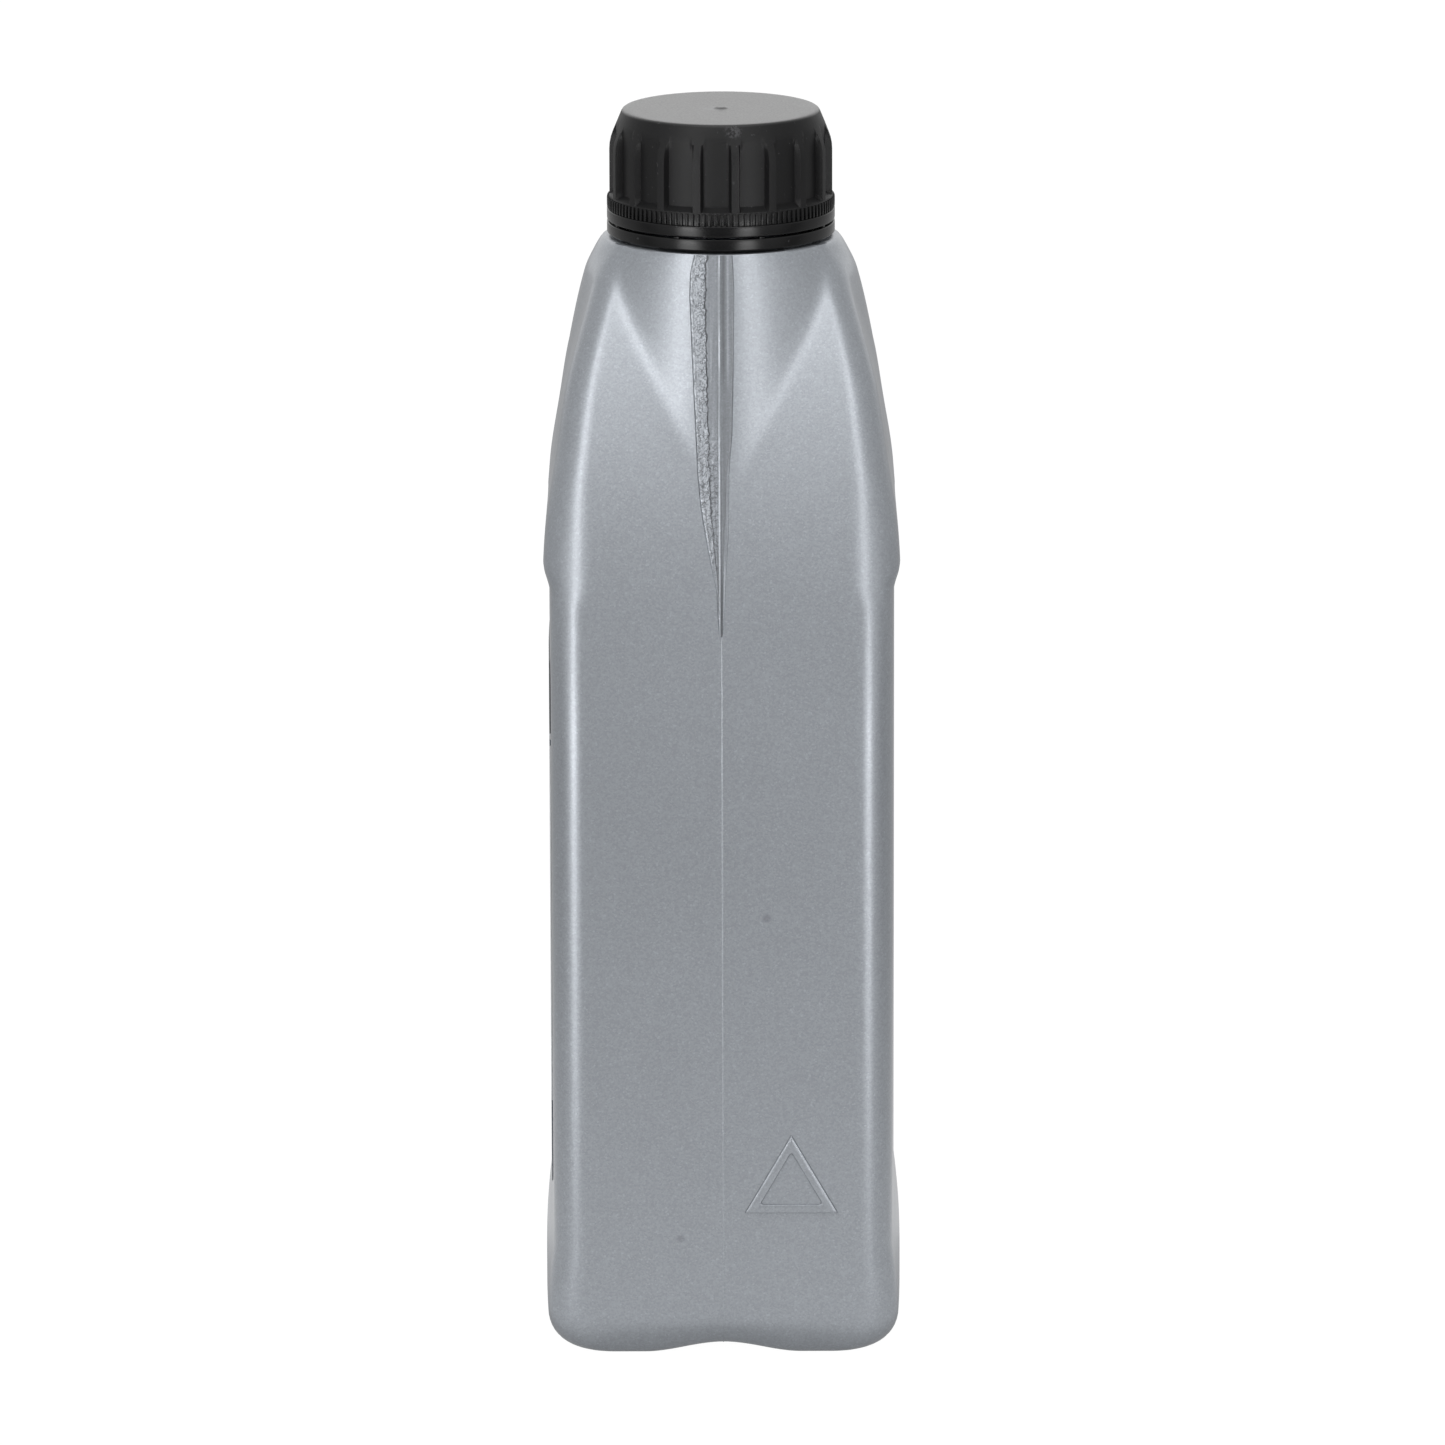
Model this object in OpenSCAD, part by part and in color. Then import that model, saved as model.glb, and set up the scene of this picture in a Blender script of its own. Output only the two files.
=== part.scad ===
// One-litre oil bottle with a ribbed screw cap.
// The bottle stands on Z = 0, its axis is Z. The narrow faces look along Y, the label panels along X.

/* [Body] */
// Width of the bottle from narrow face to narrow face
body_width = 98; // [92:0.5:106]
// Depth of the bottle between its label panels, at the corners
body_depth = 65.2; // [60:0.2:72]
// Radius of the four upright corners
corner_r = 6; // [4:0.5:9]
// How far the middle of a label panel stands proud of its ends
panel_bulge = 0.7; // [0.2:0.1:2]
// Thickness of the blown wall
wall = 1.1; // [0.8:0.1:2]
// Radius of the edge all round the base
base_r = 8; // [6:0.5:10]
// How far the foot stands proud of the label panels
foot_flare = 1.2; // [0.4:0.1:2]
// Height of the foot at the corners
foot_height = 17; // [14:0.5:22]
// How much higher the foot rises in the middle of a label panel
foot_rise = 7; // [0:0.5:10]
// Height over which the foot runs out into the panel
foot_fade = 4; // [2:0.5:6]
// Rise of the groove under the base that keeps the weld off the ground
groove_height = 2; // [1:0.1:4]
// Width of that groove
groove_width = 30; // [20:1:36]

/* [Shoulder] */
// Height at which the label panels end at the corners
panel_top = 148.5; // [140:0.5:155]
// How much higher the panels reach in their middle
panel_arch = 6; // [0:0.5:10]
// How far the shoulder stands proud of the label panels
shoulder_flare = 1.4; // [0.4:0.1:2]
// Height over which the panel runs out into the shoulder
shoulder_fade = 5; // [3:0.5:8]
// Radius at which the broad faces lean in above the panels
shoulder_r = 140; // [120:5:180]
// Radius at which the narrow faces lean in
side_arc_r = 121; // [110:1:135]
// Lean of the cone below the neck from upright, in degrees
cone_lean = 21; // [19:0.5:23]
// Height of the top of the shoulder, where the neck starts
shoulder_top = 210.8; // [205:0.2:216]
// Width of the ledge that the shoulder's top leaves round the tamper ring
shoulder_ledge = 0.25; // [0.1:0.05:1]

/* [Neck] */
// Outer diameter of the neck
neck_d = 35.2; // [33:0.1:38]
// Thickness of the neck's wall
neck_wall = 1.7; // [1.2:0.1:2.2]
// Height of the neck above the shoulder
neck_height = 22.1; // [20:0.1:24]
// How far the bead that holds the tamper ring down stands proud of the neck
bead_step = 1.8; // [1.4:0.1:2]
// Height of that bead
bead_height = 1.4; // [1:0.1:2]

/* [Screw cap] */
// Room for the thread between the neck and the cap
thread_gap = 1.2; // [1:0.1:1.4]
// How far the grip ribs lie inside the bands below them
grip_step = 0.5; // [0.2:0.05:0.8]
// Height of the cone between the grip and the flat top
cap_cone_height = 6.1; // [4:0.1:7]
// How far that cone draws in
cap_cone_run = 2.55; // [1.5:0.05:3]
// Height of the plain band above the slit
plain_band_height = 2.1; // [1.5:0.1:3.5]
// Height of the knurled band
knurl_height = 2.4; // [2:0.1:4]
// Depth of the knurling
knurl_depth = 0.4; // [0.2:0.05:0.6]
// Number of knurls
knurl_count = 120; // [60:6:144]
// Number of grip ribs
rib_count = 18; // [12:1:24]
// Depth of the flutes between the grip ribs
flute_depth = 1.35; // [0.6:0.05:1.4]
// Thickness of the cap's top
cap_roof = 1.7; // [1.2:0.1:2.4]
// Radius of the edge round the flat top
cap_edge_r = 0.6; // [0.3:0.1:1]
// Diameter of the mark that the moulding gate leaves on the top
gate_d = 1.6; // [0.8:0.1:3]
// Height of that mark
gate_height = 0.25; // [0.1:0.05:0.4]
// Turn of the cap at rest
cap_turn = -2.5; // [-10:0.5:10]

/* [Tamper ring] */
// Height of the tamper ring
ring_height = 2.5; // [2.2:0.1:3]
// Width of the slit between the ring and the cap
slit = 0.4; // [0.3:0.05:0.6]
// Clearance of the ring round the bead
bead_gap = 0.8; // [0.4:0.1:1.2]
// Thickness of the ring's wall and of the bands above it
ring_wall = 1.75; // [1.4:0.05:2.2]
// Clearance round the neck of the lip that hooks under the bead
lip_gap = 1; // [0.7:0.1:1.3]
// Height of that lip
ring_lip_height = 0.8; // [0.5:0.1:1]
// Chamfer along the ring's lower edge
ring_chamfer = 0.5; // [0.2:0.1:0.8]
// Number of bridges between the ring and the cap
bridge_count = 8; // [6:1:12]
// Width of a bridge
bridge_width = 1.2; // [0.8:0.1:2]
// Turn of the first bridge from the front of the bottle
bridge_turn = -23.5; // [-40:0.5:40]

/* [Liner] */
// Thickness of the sealing disc in the cap
liner_thickness = 0.5; // [0.4:0.1:1.6]

/* [Label] */
// Room beside the label, up to the corners
label_side_gap = 6; // [3:0.5:20]
// Room below the label, down to the foot
label_foot_gap = 3; // [1:0.5:20]
// Room above the label, up to the shoulder
label_head_gap = 14.5; // [2:0.5:40]
// Thickness of the film
label_thickness = 0.15; // [0.1:0.05:0.3]

/* [Hidden] */

$fn = 96;
overrun = 1;
// Clearance between pieces that seat on each other
seat_gap = 0.1;
// Clearance between the tamper ring and what it hangs on
ring_gap = 0.3;
// How far the knurls' crests lie under the band's surface
crest_gap = 0.05;
// Clearance between the label's film and its panel
label_gap = 0.05;

// Facets along one corner, one narrow face and one broad face of the blown body
corner_facets = 6;
narrow_facets = 8;
broad_facets = 12;
// Rings of facets: under the base, round its edge, up the foot, the panel, the step and the shoulder
base_rings = 4;
edge_rings = 6;
foot_rings = 9;
panel_rings = 8;
step_rings = 11;
shoulder_rings = 18;
// Rings of facets on the inside, where less detail shows
inner_edge_rings = 4;
inner_panel_rings = 6;
inner_shoulder_rings = 12;
// Share of the cone's size below which a narrow face no longer shrinks inside it
hidden_share = 0.6;
// Softness of the crease between the cone and the faces, as a share of the cone's size
crease_share = 0.02;
// Depth of the cone where it leaves the body, as a share of the body's depth there
cone_depth_share = 0.99;
// Height over which the crease between cone and faces grows, as a share of the cone's height
crease_rise_share = 0.3;
// Height over which the groove under the base runs out, as a share of the edge radius
groove_fade_share = 1.2;
// Share of a knurl's pitch that its crest takes, and that its foot takes
crest_share = 0.4;
knurl_foot_share = 0.75;
// Share of a rib's pitch that the flute takes
flute_share = 0.75;
// Shares of the band's wall that lie inside the core under the knurls, and inside their own ring
core_share = 0.6;
knurl_bore_share = 0.25;

half_w = body_width / 2;
half_d = body_depth / 2;
panel_half = half_w - corner_r;
shoulder_start = panel_top + shoulder_fade;
foot_top = foot_height + foot_rise + foot_fade;
step_top = shoulder_start + panel_arch;

// Radii from the mouth outwards: each piece clears or carries the next
neck_r = neck_d / 2;
bore_r = neck_r - neck_wall;
neck_seat_r = (neck_r + bore_r) / 2;
bead_r = neck_r + bead_step;
ring_lip_r = neck_r + lip_gap;
ring_bore_r = bead_r + bead_gap;
band_r = ring_bore_r + ring_wall;
shoulder_top_r = band_r + shoulder_ledge;
cap_bore_r = neck_r + thread_gap;
liner_r = cap_bore_r - ring_gap;
grip_r = band_r - grip_step;
flute_r = grip_r - flute_depth;
cap_top_r = grip_r - cap_cone_run;

// The cone below the neck: its edge leaves the top of the shoulder and is tangent to the arc of the
// narrow faces, which sets the height at which that arc starts and the height at which it ends
side_arc_start = shoulder_top
    - (half_w - shoulder_top_r + side_arc_r * (1 / cos(cone_lean) - 1)) / tan(cone_lean);
cone_foot = side_arc_start + side_arc_r * sin(cone_lean);
cone_height = shoulder_top - cone_foot;

// Heights up the neck, and up the cap from its own lower edge
ring_z = shoulder_top + ring_gap;
bead_z = ring_z + ring_lip_height + ring_gap;
cap_z = ring_z + ring_height + slit;
rim_z = shoulder_top + neck_height;
liner_z = rim_z + seat_gap;
roof_z = liner_z + liner_thickness + seat_gap - cap_z;
cap_height = roof_z + cap_roof;
cone_z = cap_height - cap_cone_height;
knurl_z = plain_band_height;
grip_z = knurl_z + knurl_height;
skirt_z = grip_z - ring_wall / 2;

label_width = 2 * (panel_half - label_side_gap);
label_bottom = foot_top + label_foot_gap;
label_height = panel_top - label_head_gap - label_bottom;

// Eases from 0 to 1 as t goes from 0 to 1
function ease(t) = let (c = min(1, max(0, t))) c * c * (3 - 2 * c);

// How far an arc of radius r has turned away from its tangent after a rise
function arc_drop(rise, r) = rise <= 0 ? 0 : r - sqrt(r * r - rise * rise);

// Height of the lines where the foot and the shoulder meet a label panel, at a place across it
function arch(y) = max(0, 1 - pow(y / panel_half, 2));
function foot_line(y) = foot_height + foot_rise * arch(y);
function panel_line(y) = panel_top + panel_arch * arch(y);

// Half the depth of the body at a height, across a label panel
function half_depth(z, y) = half_d
    + foot_flare * (1 - ease((z - foot_line(y)) / foot_fade))
    + shoulder_flare * ease((z - panel_line(y)) / shoulder_fade)
    - arc_drop(z - shoulder_start, shoulder_r);

// Half the width of the cone below the neck along X and along Y
function cone_x(z) = shoulder_top_r
    + (cone_depth_share * half_depth(cone_foot, 0) - shoulder_top_r)
    * sqrt(max(0, shoulder_top - z) / cone_height);
function cone_y(z) = shoulder_top_r + tan(cone_lean) * max(0, shoulder_top - z);

// Half the width of the body at a height
function half_width(z) = max(
    half_w - arc_drop(z - side_arc_start, side_arc_r),
    hidden_share * cone_y(max(z, cone_foot))
);

// Even steps from a to b, without b
function steps(a, b, n) = [for (k = [0 : n - 1]) a + (b - a) * k / n];

// Steps from a to b, without b, that grow shorter towards b
function closing_steps(a, b, n) = [for (k = [n : -1 : 1]) b - (b - a) * pow(k / n, 2)];

// One ring of the body's plain section: half sizes a and b, corner radius r
function section(a, b, r) = let (
    ca = a - r,
    cb = b - r,
    turn = [for (k = [0 : corner_facets - 1]) 90 * k / corner_facets]
) [
    for (x = steps(-ca, ca, narrow_facets)) [x, -b],
    for (t = turn) [ca + r * sin(t), -cb - r * cos(t)],
    for (y = steps(-cb, cb, broad_facets)) [a, y],
    for (t = turn) [ca + r * cos(t), cb + r * sin(t)],
    for (x = steps(ca, -ca, narrow_facets)) [x, b],
    for (t = turn) [-ca - r * sin(t), cb + r * cos(t)],
    for (y = steps(cb, -cb, broad_facets)) [-a, y],
    for (t = turn) [-ca - r * cos(t), -cb - r * sin(t)]
];
ring_points = 2 * (narrow_facets + broad_facets) + 4 * corner_facets;

// Factor that pushes a point of the section out to the cone where the cone stands proud of it
function proud(p, z, inset) =
    z < cone_foot ? 1 : let (
        share = norm([p.x / (cone_x(z) - inset), p.y / (cone_y(z) - inset)]),
        lead = 1 / share - 1,
        soft = 2 * crease_share * ease((z - cone_foot) / (cone_height * crease_rise_share))
    ) 1 + (lead + sqrt(lead * lead + soft * soft)) / 2;

// A point of the section, spread to the body's depth at its height. Where the body is deeper than the
// plain section its corners grow, and where it is less deep the whole section draws in.
function spread(p, z, inset) = let (
    bulge = panel_bulge * arch(p.y) * (1 - ease((z - panel_top) / (step_top - panel_top))),
    plain = half_d - inset,
    deep = half_depth(z, p.y) + bulge - inset,
    core = half_d - corner_r,
    grown = max(0, deep - plain) * max(0, abs(p.x) - core) / (plain - core)
) [p.x * min(1, deep / plain) + sign(p.x) * grown, p.y];

// Lift that the groove gives to what lies a little above the base
function groove(x, above) =
    groove_height * (1 - ease(abs(x) / (groove_width / 2)))
    * pow(max(0, 1 - above / (base_r * groove_fade_share)), 2);

// One ring of the blown body. The profile is read at height z, drawn in by inset and by the base's
// edge, shrunk by scale, and set at height z - inset.
function body_ring(z, inset, edge, scale = 1) = [
    for (p = section(half_d - inset, half_width(z) - inset, corner_r - inset))
        let (
            q = spread(p, z, inset) * proud(spread(p, z, inset), z, inset),
            draw = [(half_depth(z, p.y) - inset - edge) / (half_depth(z, p.y) - inset),
                    (half_width(z) - inset - edge) / (half_width(z) - inset)] * scale,
            x = q.x * draw.x,
            y = q.y * draw.y
        ) [x, y, z + groove(x, z)]
];

// Heights of the rings up the wall, outside and inside
outer_rows = concat(
    steps(base_r, foot_height, 2),
    steps(foot_height, foot_top, foot_rings),
    closing_steps(foot_top, panel_top, panel_rings),
    steps(panel_top, step_top, step_rings),
    closing_steps(step_top, shoulder_top, shoulder_rings),
    [shoulder_top]
);
inner_rows = concat(
    steps(base_r, foot_top, 2),
    closing_steps(foot_top, step_top, inner_panel_rings),
    closing_steps(step_top, shoulder_top, inner_shoulder_rings),
    [shoulder_top]
);

// The rings of one skin of the body, from the middle of its base up to the shoulder's top
function skin(inset, rows, edges) = concat(
    [for (k = [1 : base_rings - 1]) body_ring(0, inset, base_r - inset, k / base_rings)],
    [for (k = [0 : edges - 1])
        let (t = 90 - 90 * k / edges)
            body_ring((base_r - inset) * (1 - sin(t)), inset, (base_r - inset) * (1 - cos(t)))],
    [for (z = rows) body_ring(z, inset, 0)]
);

// The same ring, moved by a height
function raised(ring, h) = [for (p = ring) [p.x, p.y, p.z + h]];

// A ring drawn in or out to a circle of radius r
function rounded(ring, r) = [for (p = ring) let (s = r / norm([p.x, p.y])) [p.x * s, p.y * s, p.z]];

// Heights that the inner skin is set at: by the wall above the base, by the wall under the shoulder
function inner_lift(z) = wall * (1 - 2 * ease(z / shoulder_start));

function reversed(list) = [for (k = [len(list) - 1 : -1 : 0]) list[k]];

// Blown body: the outer skin up, the flat under the neck, and the inner skin back down
module blown_body() {
    outer = skin(0, outer_rows, edge_rings);
    inner_flat = skin(wall, inner_rows, inner_edge_rings);
    inner = [for (r = inner_flat) [for (p = r) [p.x, p.y, p.z + inner_lift(p.z)]]];
    top = outer[len(outer) - 1];
    seat = rounded(top, neck_seat_r);
    rings = concat(outer, [seat, raised(seat, -wall)], reversed(inner));
    count = len(rings);
    points = concat(
        [[0, 0, groove(0, 0)]],
        [for (r = rings) each r],
        [[0, 0, wall + groove(0, 0)]]
    );
    last = len(points) - 1;
    n = ring_points;
    faces = concat(
        [for (j = [0 : n - 1]) [0, 1 + j, 1 + (j + 1) % n]],
        [for (i = [0 : count - 2], j = [0 : n - 1])
            let (a = 1 + i * n + j, b = 1 + i * n + (j + 1) % n) each [[a, a + n, b], [b, a + n, b + n]]],
        [for (j = [0 : n - 1])
            let (a = last - n) [last, a + (j + 1) % n, a + j]]
    );
    polyhedron(points, faces);
}

// Neck: turned section with the bead that the tamper ring hooks under and a rounded rim
module neck() {
    rim_r = (neck_r - bore_r) / 4;
    rotate_extrude() polygon([
        [bore_r, shoulder_top - wall - wall / 2],
        [neck_r, shoulder_top - wall - wall / 2],
        [neck_r, bead_z],
        [bead_r, bead_z],
        [neck_r, bead_z + bead_height],
        [neck_r, rim_z - rim_r],
        [neck_r - rim_r, rim_z],
        [bore_r, rim_z]
    ]);
}

module bottle() {
    color("slategray") union() {
        blown_body();
        neck();
    }
}

// Ring that stays on the neck when the cap is first opened, with the bridges that tear
module tamper_ring() {
    color("black") translate([0, 0, ring_z]) {
        rotate_extrude() polygon([
            [ring_lip_r, 0],
            [band_r - ring_chamfer, 0],
            [band_r, ring_chamfer],
            [band_r, ring_height],
            [ring_bore_r, ring_height],
            [ring_bore_r, ring_lip_height],
            [ring_lip_r, ring_lip_height]
        ]);
        for (k = [0 : bridge_count - 1])
            rotate(bridge_turn + 360 * k / bridge_count)
                translate([-bridge_width / 2, -band_r + slit, ring_height - slit])
                    cube([bridge_width, ring_wall / 2, slit * 2 - seat_gap]);
    }
}

// Outline of the knurled band: flat crests with straight flanks
module knurl_outline() {
    pitch = 360 / knurl_count;
    crest_r = band_r - crest_gap;
    root_r = crest_r - knurl_depth;
    polygon([
        for (k = [0 : knurl_count - 1])
            for (c = [[-knurl_foot_share, root_r], [-crest_share, crest_r],
                      [crest_share, crest_r], [knurl_foot_share, root_r]])
                let (t = pitch * (k + c[0] / 2)) [c[1] * sin(t), -c[1] * cos(t)]
    ]);
}

// Turned shell of the cap: plain band, grip, cone and flat top, with its hollow
module cap_shell() {
    core_r = ring_bore_r + ring_wall * core_share;
    rotate_extrude() polygon([
        [ring_bore_r, 0],
        [band_r, 0],
        [band_r, knurl_z],
        [core_r, knurl_z],
        [core_r, grip_z],
        [grip_r, grip_z],
        [grip_r, cone_z],
        [cap_top_r + cap_edge_r / 2, cap_height - cap_edge_r],
        [cap_top_r - cap_edge_r / 2, cap_height],
        [0, cap_height],
        [0, roof_z],
        [cap_bore_r, roof_z],
        [cap_bore_r, grip_z],
        [ring_bore_r, skirt_z]
    ]);
}

// Flute between two grip ribs, running out on the cone above it
module flute() {
    sweep = 360 * flute_share / rib_count;
    rotate(-90 - sweep / 2) rotate_extrude(angle = sweep)
        translate([flute_r, grip_z]) square([flute_depth + overrun, cap_height - grip_z]);
}

module screw_cap() {
    color("#1c1c1e") translate([0, 0, cap_z]) rotate(cap_turn) {
        difference() {
            cap_shell();
            for (k = [0 : rib_count - 1]) rotate(360 * k / rib_count) flute();
        }
        translate([0, 0, knurl_z / 2]) linear_extrude(grip_z - knurl_z / 2) difference() {
            knurl_outline();
            circle(ring_bore_r + ring_wall * knurl_bore_share);
        }
        translate([0, 0, cap_height - gate_height]) cylinder(d = gate_d, h = gate_height * 2);
    }
}

// Foam disc that the cap presses on the rim
module cap_liner() {
    color("white") translate([0, 0, liner_z]) cylinder(r = liner_r, h = liner_thickness);
}

// Film stuck on the label panel, following its bulge
module front_label() {
    across = [for (k = [0 : broad_facets]) label_width * (k / broad_facets - 1 / 2)];
    function panel_x(y) = -half_d - panel_bulge * arch(y) - label_gap;
    color("whitesmoke") translate([0, 0, label_bottom]) linear_extrude(label_height) polygon(concat(
        [for (y = across) [panel_x(y), y]],
        [for (y = reversed(across)) [panel_x(y) - label_thickness, y]]
    ));
}

bottle();
tamper_ring();
screw_cap();
cap_liner();
front_label();
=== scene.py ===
"""Dresses the fluid bottle: grey blown shell, black ribbed cap, tear ring, foam liner and a bare label."""
import math

import bmesh
import bpy
import numpy as np
from mathutils import Matrix, Vector, noise


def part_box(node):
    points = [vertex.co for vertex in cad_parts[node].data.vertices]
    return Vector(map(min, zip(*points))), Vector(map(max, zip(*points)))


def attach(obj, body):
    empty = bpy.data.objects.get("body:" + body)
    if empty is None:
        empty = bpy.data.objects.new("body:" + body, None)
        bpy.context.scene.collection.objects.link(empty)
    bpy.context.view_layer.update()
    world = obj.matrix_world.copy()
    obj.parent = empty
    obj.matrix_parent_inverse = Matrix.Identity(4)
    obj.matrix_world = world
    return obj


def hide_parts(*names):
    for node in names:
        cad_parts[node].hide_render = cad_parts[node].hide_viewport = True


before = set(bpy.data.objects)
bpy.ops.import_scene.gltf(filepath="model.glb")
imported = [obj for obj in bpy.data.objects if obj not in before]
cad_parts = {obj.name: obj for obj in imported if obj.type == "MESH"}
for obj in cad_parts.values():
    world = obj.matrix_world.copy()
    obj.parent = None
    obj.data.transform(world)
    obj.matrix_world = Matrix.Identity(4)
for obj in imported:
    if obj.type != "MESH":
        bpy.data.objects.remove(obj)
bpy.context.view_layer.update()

MM = 0.001

# Places that the frame gives
_, bottle_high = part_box("bottle")
cap_low, cap_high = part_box("screw_cap")
ring_low, ring_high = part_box("tamper_ring")
liner_low, liner_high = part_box("cap_liner")
label_low, label_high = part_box("front_label")

# Blown body
HALF_W = bottle_high.y
HALF_D = 32.6 * MM
CORNER_R = 6 * MM
CORNER_GROWTH = 1.7 * MM
PANEL_BULGE = 0.7 * MM
WALL = 1.1 * MM
BASE_R = 8 * MM
BASE_FRONT_SHARE = 0.5
FOOT_FLARE = 1.2 * MM
FOOT_HEIGHT = 9 * MM
FOOT_RISE = 7 * MM
FOOT_FADE = 12 * MM
FOOT_BEND = 1.4
GROOVE_HEIGHT = 2 * MM
GROOVE_WIDTH = 30 * MM
GROOVE_FADE = 9.6 * MM
PANEL_TOP = 146.3 * MM
PANEL_ARCH = 8.2 * MM
SHOULDER_FLARE = 1.4 * MM
SHOULDER_FADE = 5 * MM
SHOULDER_R = 140 * MM
SIDE_ARC_R = 150 * MM
SHOULDER_HOLLOW = 1.0 * MM
HOLLOW_Z = 172 * MM
HOLLOW_REACH = 16 * MM
CONE_LEAN = math.radians(20)
SHOULDER_TOP = 210.8 * MM
SHOULDER_LEDGE = 0.25 * MM
HIDDEN_SHARE = 0.6
CREASE_SHARE = 0.062
CREASE_END_SHARE = 0.14
CONE_DEPTH_SHARE = 0.99
CONE_DEPTH_BEND = 0.57

# Neck
NECK_R = 17.6 * MM
NECK_WALL = 1.7 * MM
BEAD_STEP = 1.8 * MM
BEAD_HEIGHT = 1.4 * MM
BEAD_RISE = 1.4 * MM
NECK_EDGE = 0.4 * MM
THREAD_PITCH = 4.2 * MM
THREAD_TURNS = 2.2
THREAD_DEPTH = 1.0 * MM
THREAD_RISE = 6.4 * MM
THREAD_STEPS = 72
THREAD_FACETS = 10
THREAD_RUN_OUT = 0.08
THREAD_TIP = 0.05

# Screw cap, from its own lower edge
CAP_TURN = math.radians(-2.5)
PLAIN_BAND = 2.1 * MM
KNURL_HEIGHT = 2.4 * MM
KNURL_DEPTH = 0.4 * MM
KNURL_COUNT = 120
GRIP_STEP = 0.5 * MM
RIB_COUNT = 18
FLUTE_SHARE = 0.75
FLUTE_DEPTH = 1.35 * MM
CAP_CONE_HEIGHT = 6.1 * MM
CAP_CONE_RUN = 2.55 * MM
CAP_ROOF = 1.7 * MM
THREAD_GAP = 1.2 * MM
CAP_EDGE = 0.6 * MM
TOP_EDGE = 0.9 * MM
CONE_BLEND = 9 * MM
FLUTE_ROUNDING = 0.5 * MM
GATE_HEIGHT = 0.25 * MM
GATE_R = 0.8 * MM
CAP_SEGMENTS = 720
CAP_ROUNDING = 0.3 * MM
CAP_FACET = 0.9 * MM
CAP_INNER_FACET = 6 * MM
GRIP_SLOPE = 0.15 * MM
FLUTE_EDGE = 0.022
FLUTE_LIFT = 0.35 * MM
KNURL_WIDTH = 0.62 * MM
KNURL_LIFT = 0.05 * MM
KNURL_SLOPE = 0.1 * MM

# Tear ring
RING_WALL = 1.75 * MM
RING_HEIGHT = 2.5 * MM
RING_LIP_HEIGHT = 0.8 * MM
LIP_GAP = 1 * MM
SLIT = 0.4 * MM
BRIDGE_COUNT = 8
BRIDGE_WIDTH = 1.2 * MM
BRIDGE_TURN = math.radians(-23.5)
BRIDGE_DEPTH = 0.9 * MM
BRIDGE_INSET = 0.8 * MM
BAR_CREASE = 0.35
RING_SEGMENTS = 240
RING_BEVEL = 0.5 * MM
RING_ROUNDING = 0.22 * MM

# Foam liner
LINER_SEGMENTS = 160
LINER_DENT = 0.15 * MM
LINER_SLOPE = 1 * MM
LINER_ROUNDING = 0.25 * MM

# Derived places
PANEL_HALF = HALF_W - CORNER_R
SHOULDER_START = PANEL_TOP + SHOULDER_FADE
FOOT_TOP = FOOT_HEIGHT + FOOT_RISE + FOOT_FADE
STEP_TOP = SHOULDER_START + PANEL_ARCH
BAND_R = cap_high.y
SHOULDER_TOP_R = BAND_R + SHOULDER_LEDGE
RIM_Z = bottle_high.z
BEAD_Z = SHOULDER_TOP + BEAD_RISE
SIDE_ARC_START = SHOULDER_TOP - (
    HALF_W - SHOULDER_TOP_R + SIDE_ARC_R * (1 / math.cos(CONE_LEAN) - 1)
) / math.tan(CONE_LEAN)
CONE_FOOT = SIDE_ARC_START + SIDE_ARC_R * math.sin(CONE_LEAN)
CONE_HEIGHT = SHOULDER_TOP - CONE_FOOT

# Facets round the body and rings of facets up it
NARROW_FACETS = 50
BROAD_FACETS = 32
CORNER_FACETS = 9
BASE_RINGS = 6
EDGE_RINGS = 12
HEEL_RINGS = 4
FOOT_RINGS = 22
PANEL_RINGS = 24
STEP_RINGS = 26
SHOULDER_RINGS = 124
INNER_EDGE_RINGS = 4
INNER_PANEL_RINGS = 8
INNER_SHOULDER_RINGS = 14

# Degrees past which an edge is sharp
SHELL_SHARP = 50
CAP_SHARP = 38
PLAIN_SHARP = 40

# Limits in meshing: a gap that is closed, a corner's share of a side, and a flute radius past every wall
MERGE_GAP = 0.002 * MM
LARGEST_CORNER = 0.45
NO_FLUTES = 1.0


class Wire:
    """An output of a node. Arithmetic on it adds Math nodes to its tree."""

    def __init__(self, tree, socket):
        self.tree = tree
        self.socket = socket

    def out(self, name):
        """Another output of the same node."""
        return Wire(self.tree, self.tree.find(self.socket.node.outputs, name))

    def calc(self, operation, *values):
        return self.tree.add("ShaderNodeMath", {"operation": operation}, dict(enumerate(values)))

    def __add__(self, other):
        return self.calc("ADD", self, other)

    def __radd__(self, other):
        return self.calc("ADD", other, self)

    def __sub__(self, other):
        return self.calc("SUBTRACT", self, other)

    def __rsub__(self, other):
        return self.calc("SUBTRACT", other, self)

    def __mul__(self, other):
        return self.calc("MULTIPLY", self, other)

    def __rmul__(self, other):
        return self.calc("MULTIPLY", other, self)

    def __truediv__(self, other):
        return self.calc("DIVIDE", self, other)

    def __rtruediv__(self, other):
        return self.calc("DIVIDE", other, self)

    def __mod__(self, other):
        return self.calc("FLOORED_MODULO", self, other)

    def __abs__(self):
        return self.calc("ABSOLUTE", self)

    def floor(self):
        return self.calc("FLOOR", self)

    def sine(self):
        return self.calc("SINE", self)

    def cosine(self):
        return self.calc("COSINE", self)

    def most(self, other):
        return self.calc("MAXIMUM", self, other)

    def least(self, other):
        return self.calc("MINIMUM", self, other)

    def ease(self, low, high):
        """Eases from 0 at low to 1 at high, which may lie below low."""
        return self.tree.add(
            "ShaderNodeMapRange",
            {"interpolation_type": "SMOOTHSTEP"},
            {"Value": self, "From Min": low, "From Max": high, "To Min": 0.0, "To Max": 1.0},
        )


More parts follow.
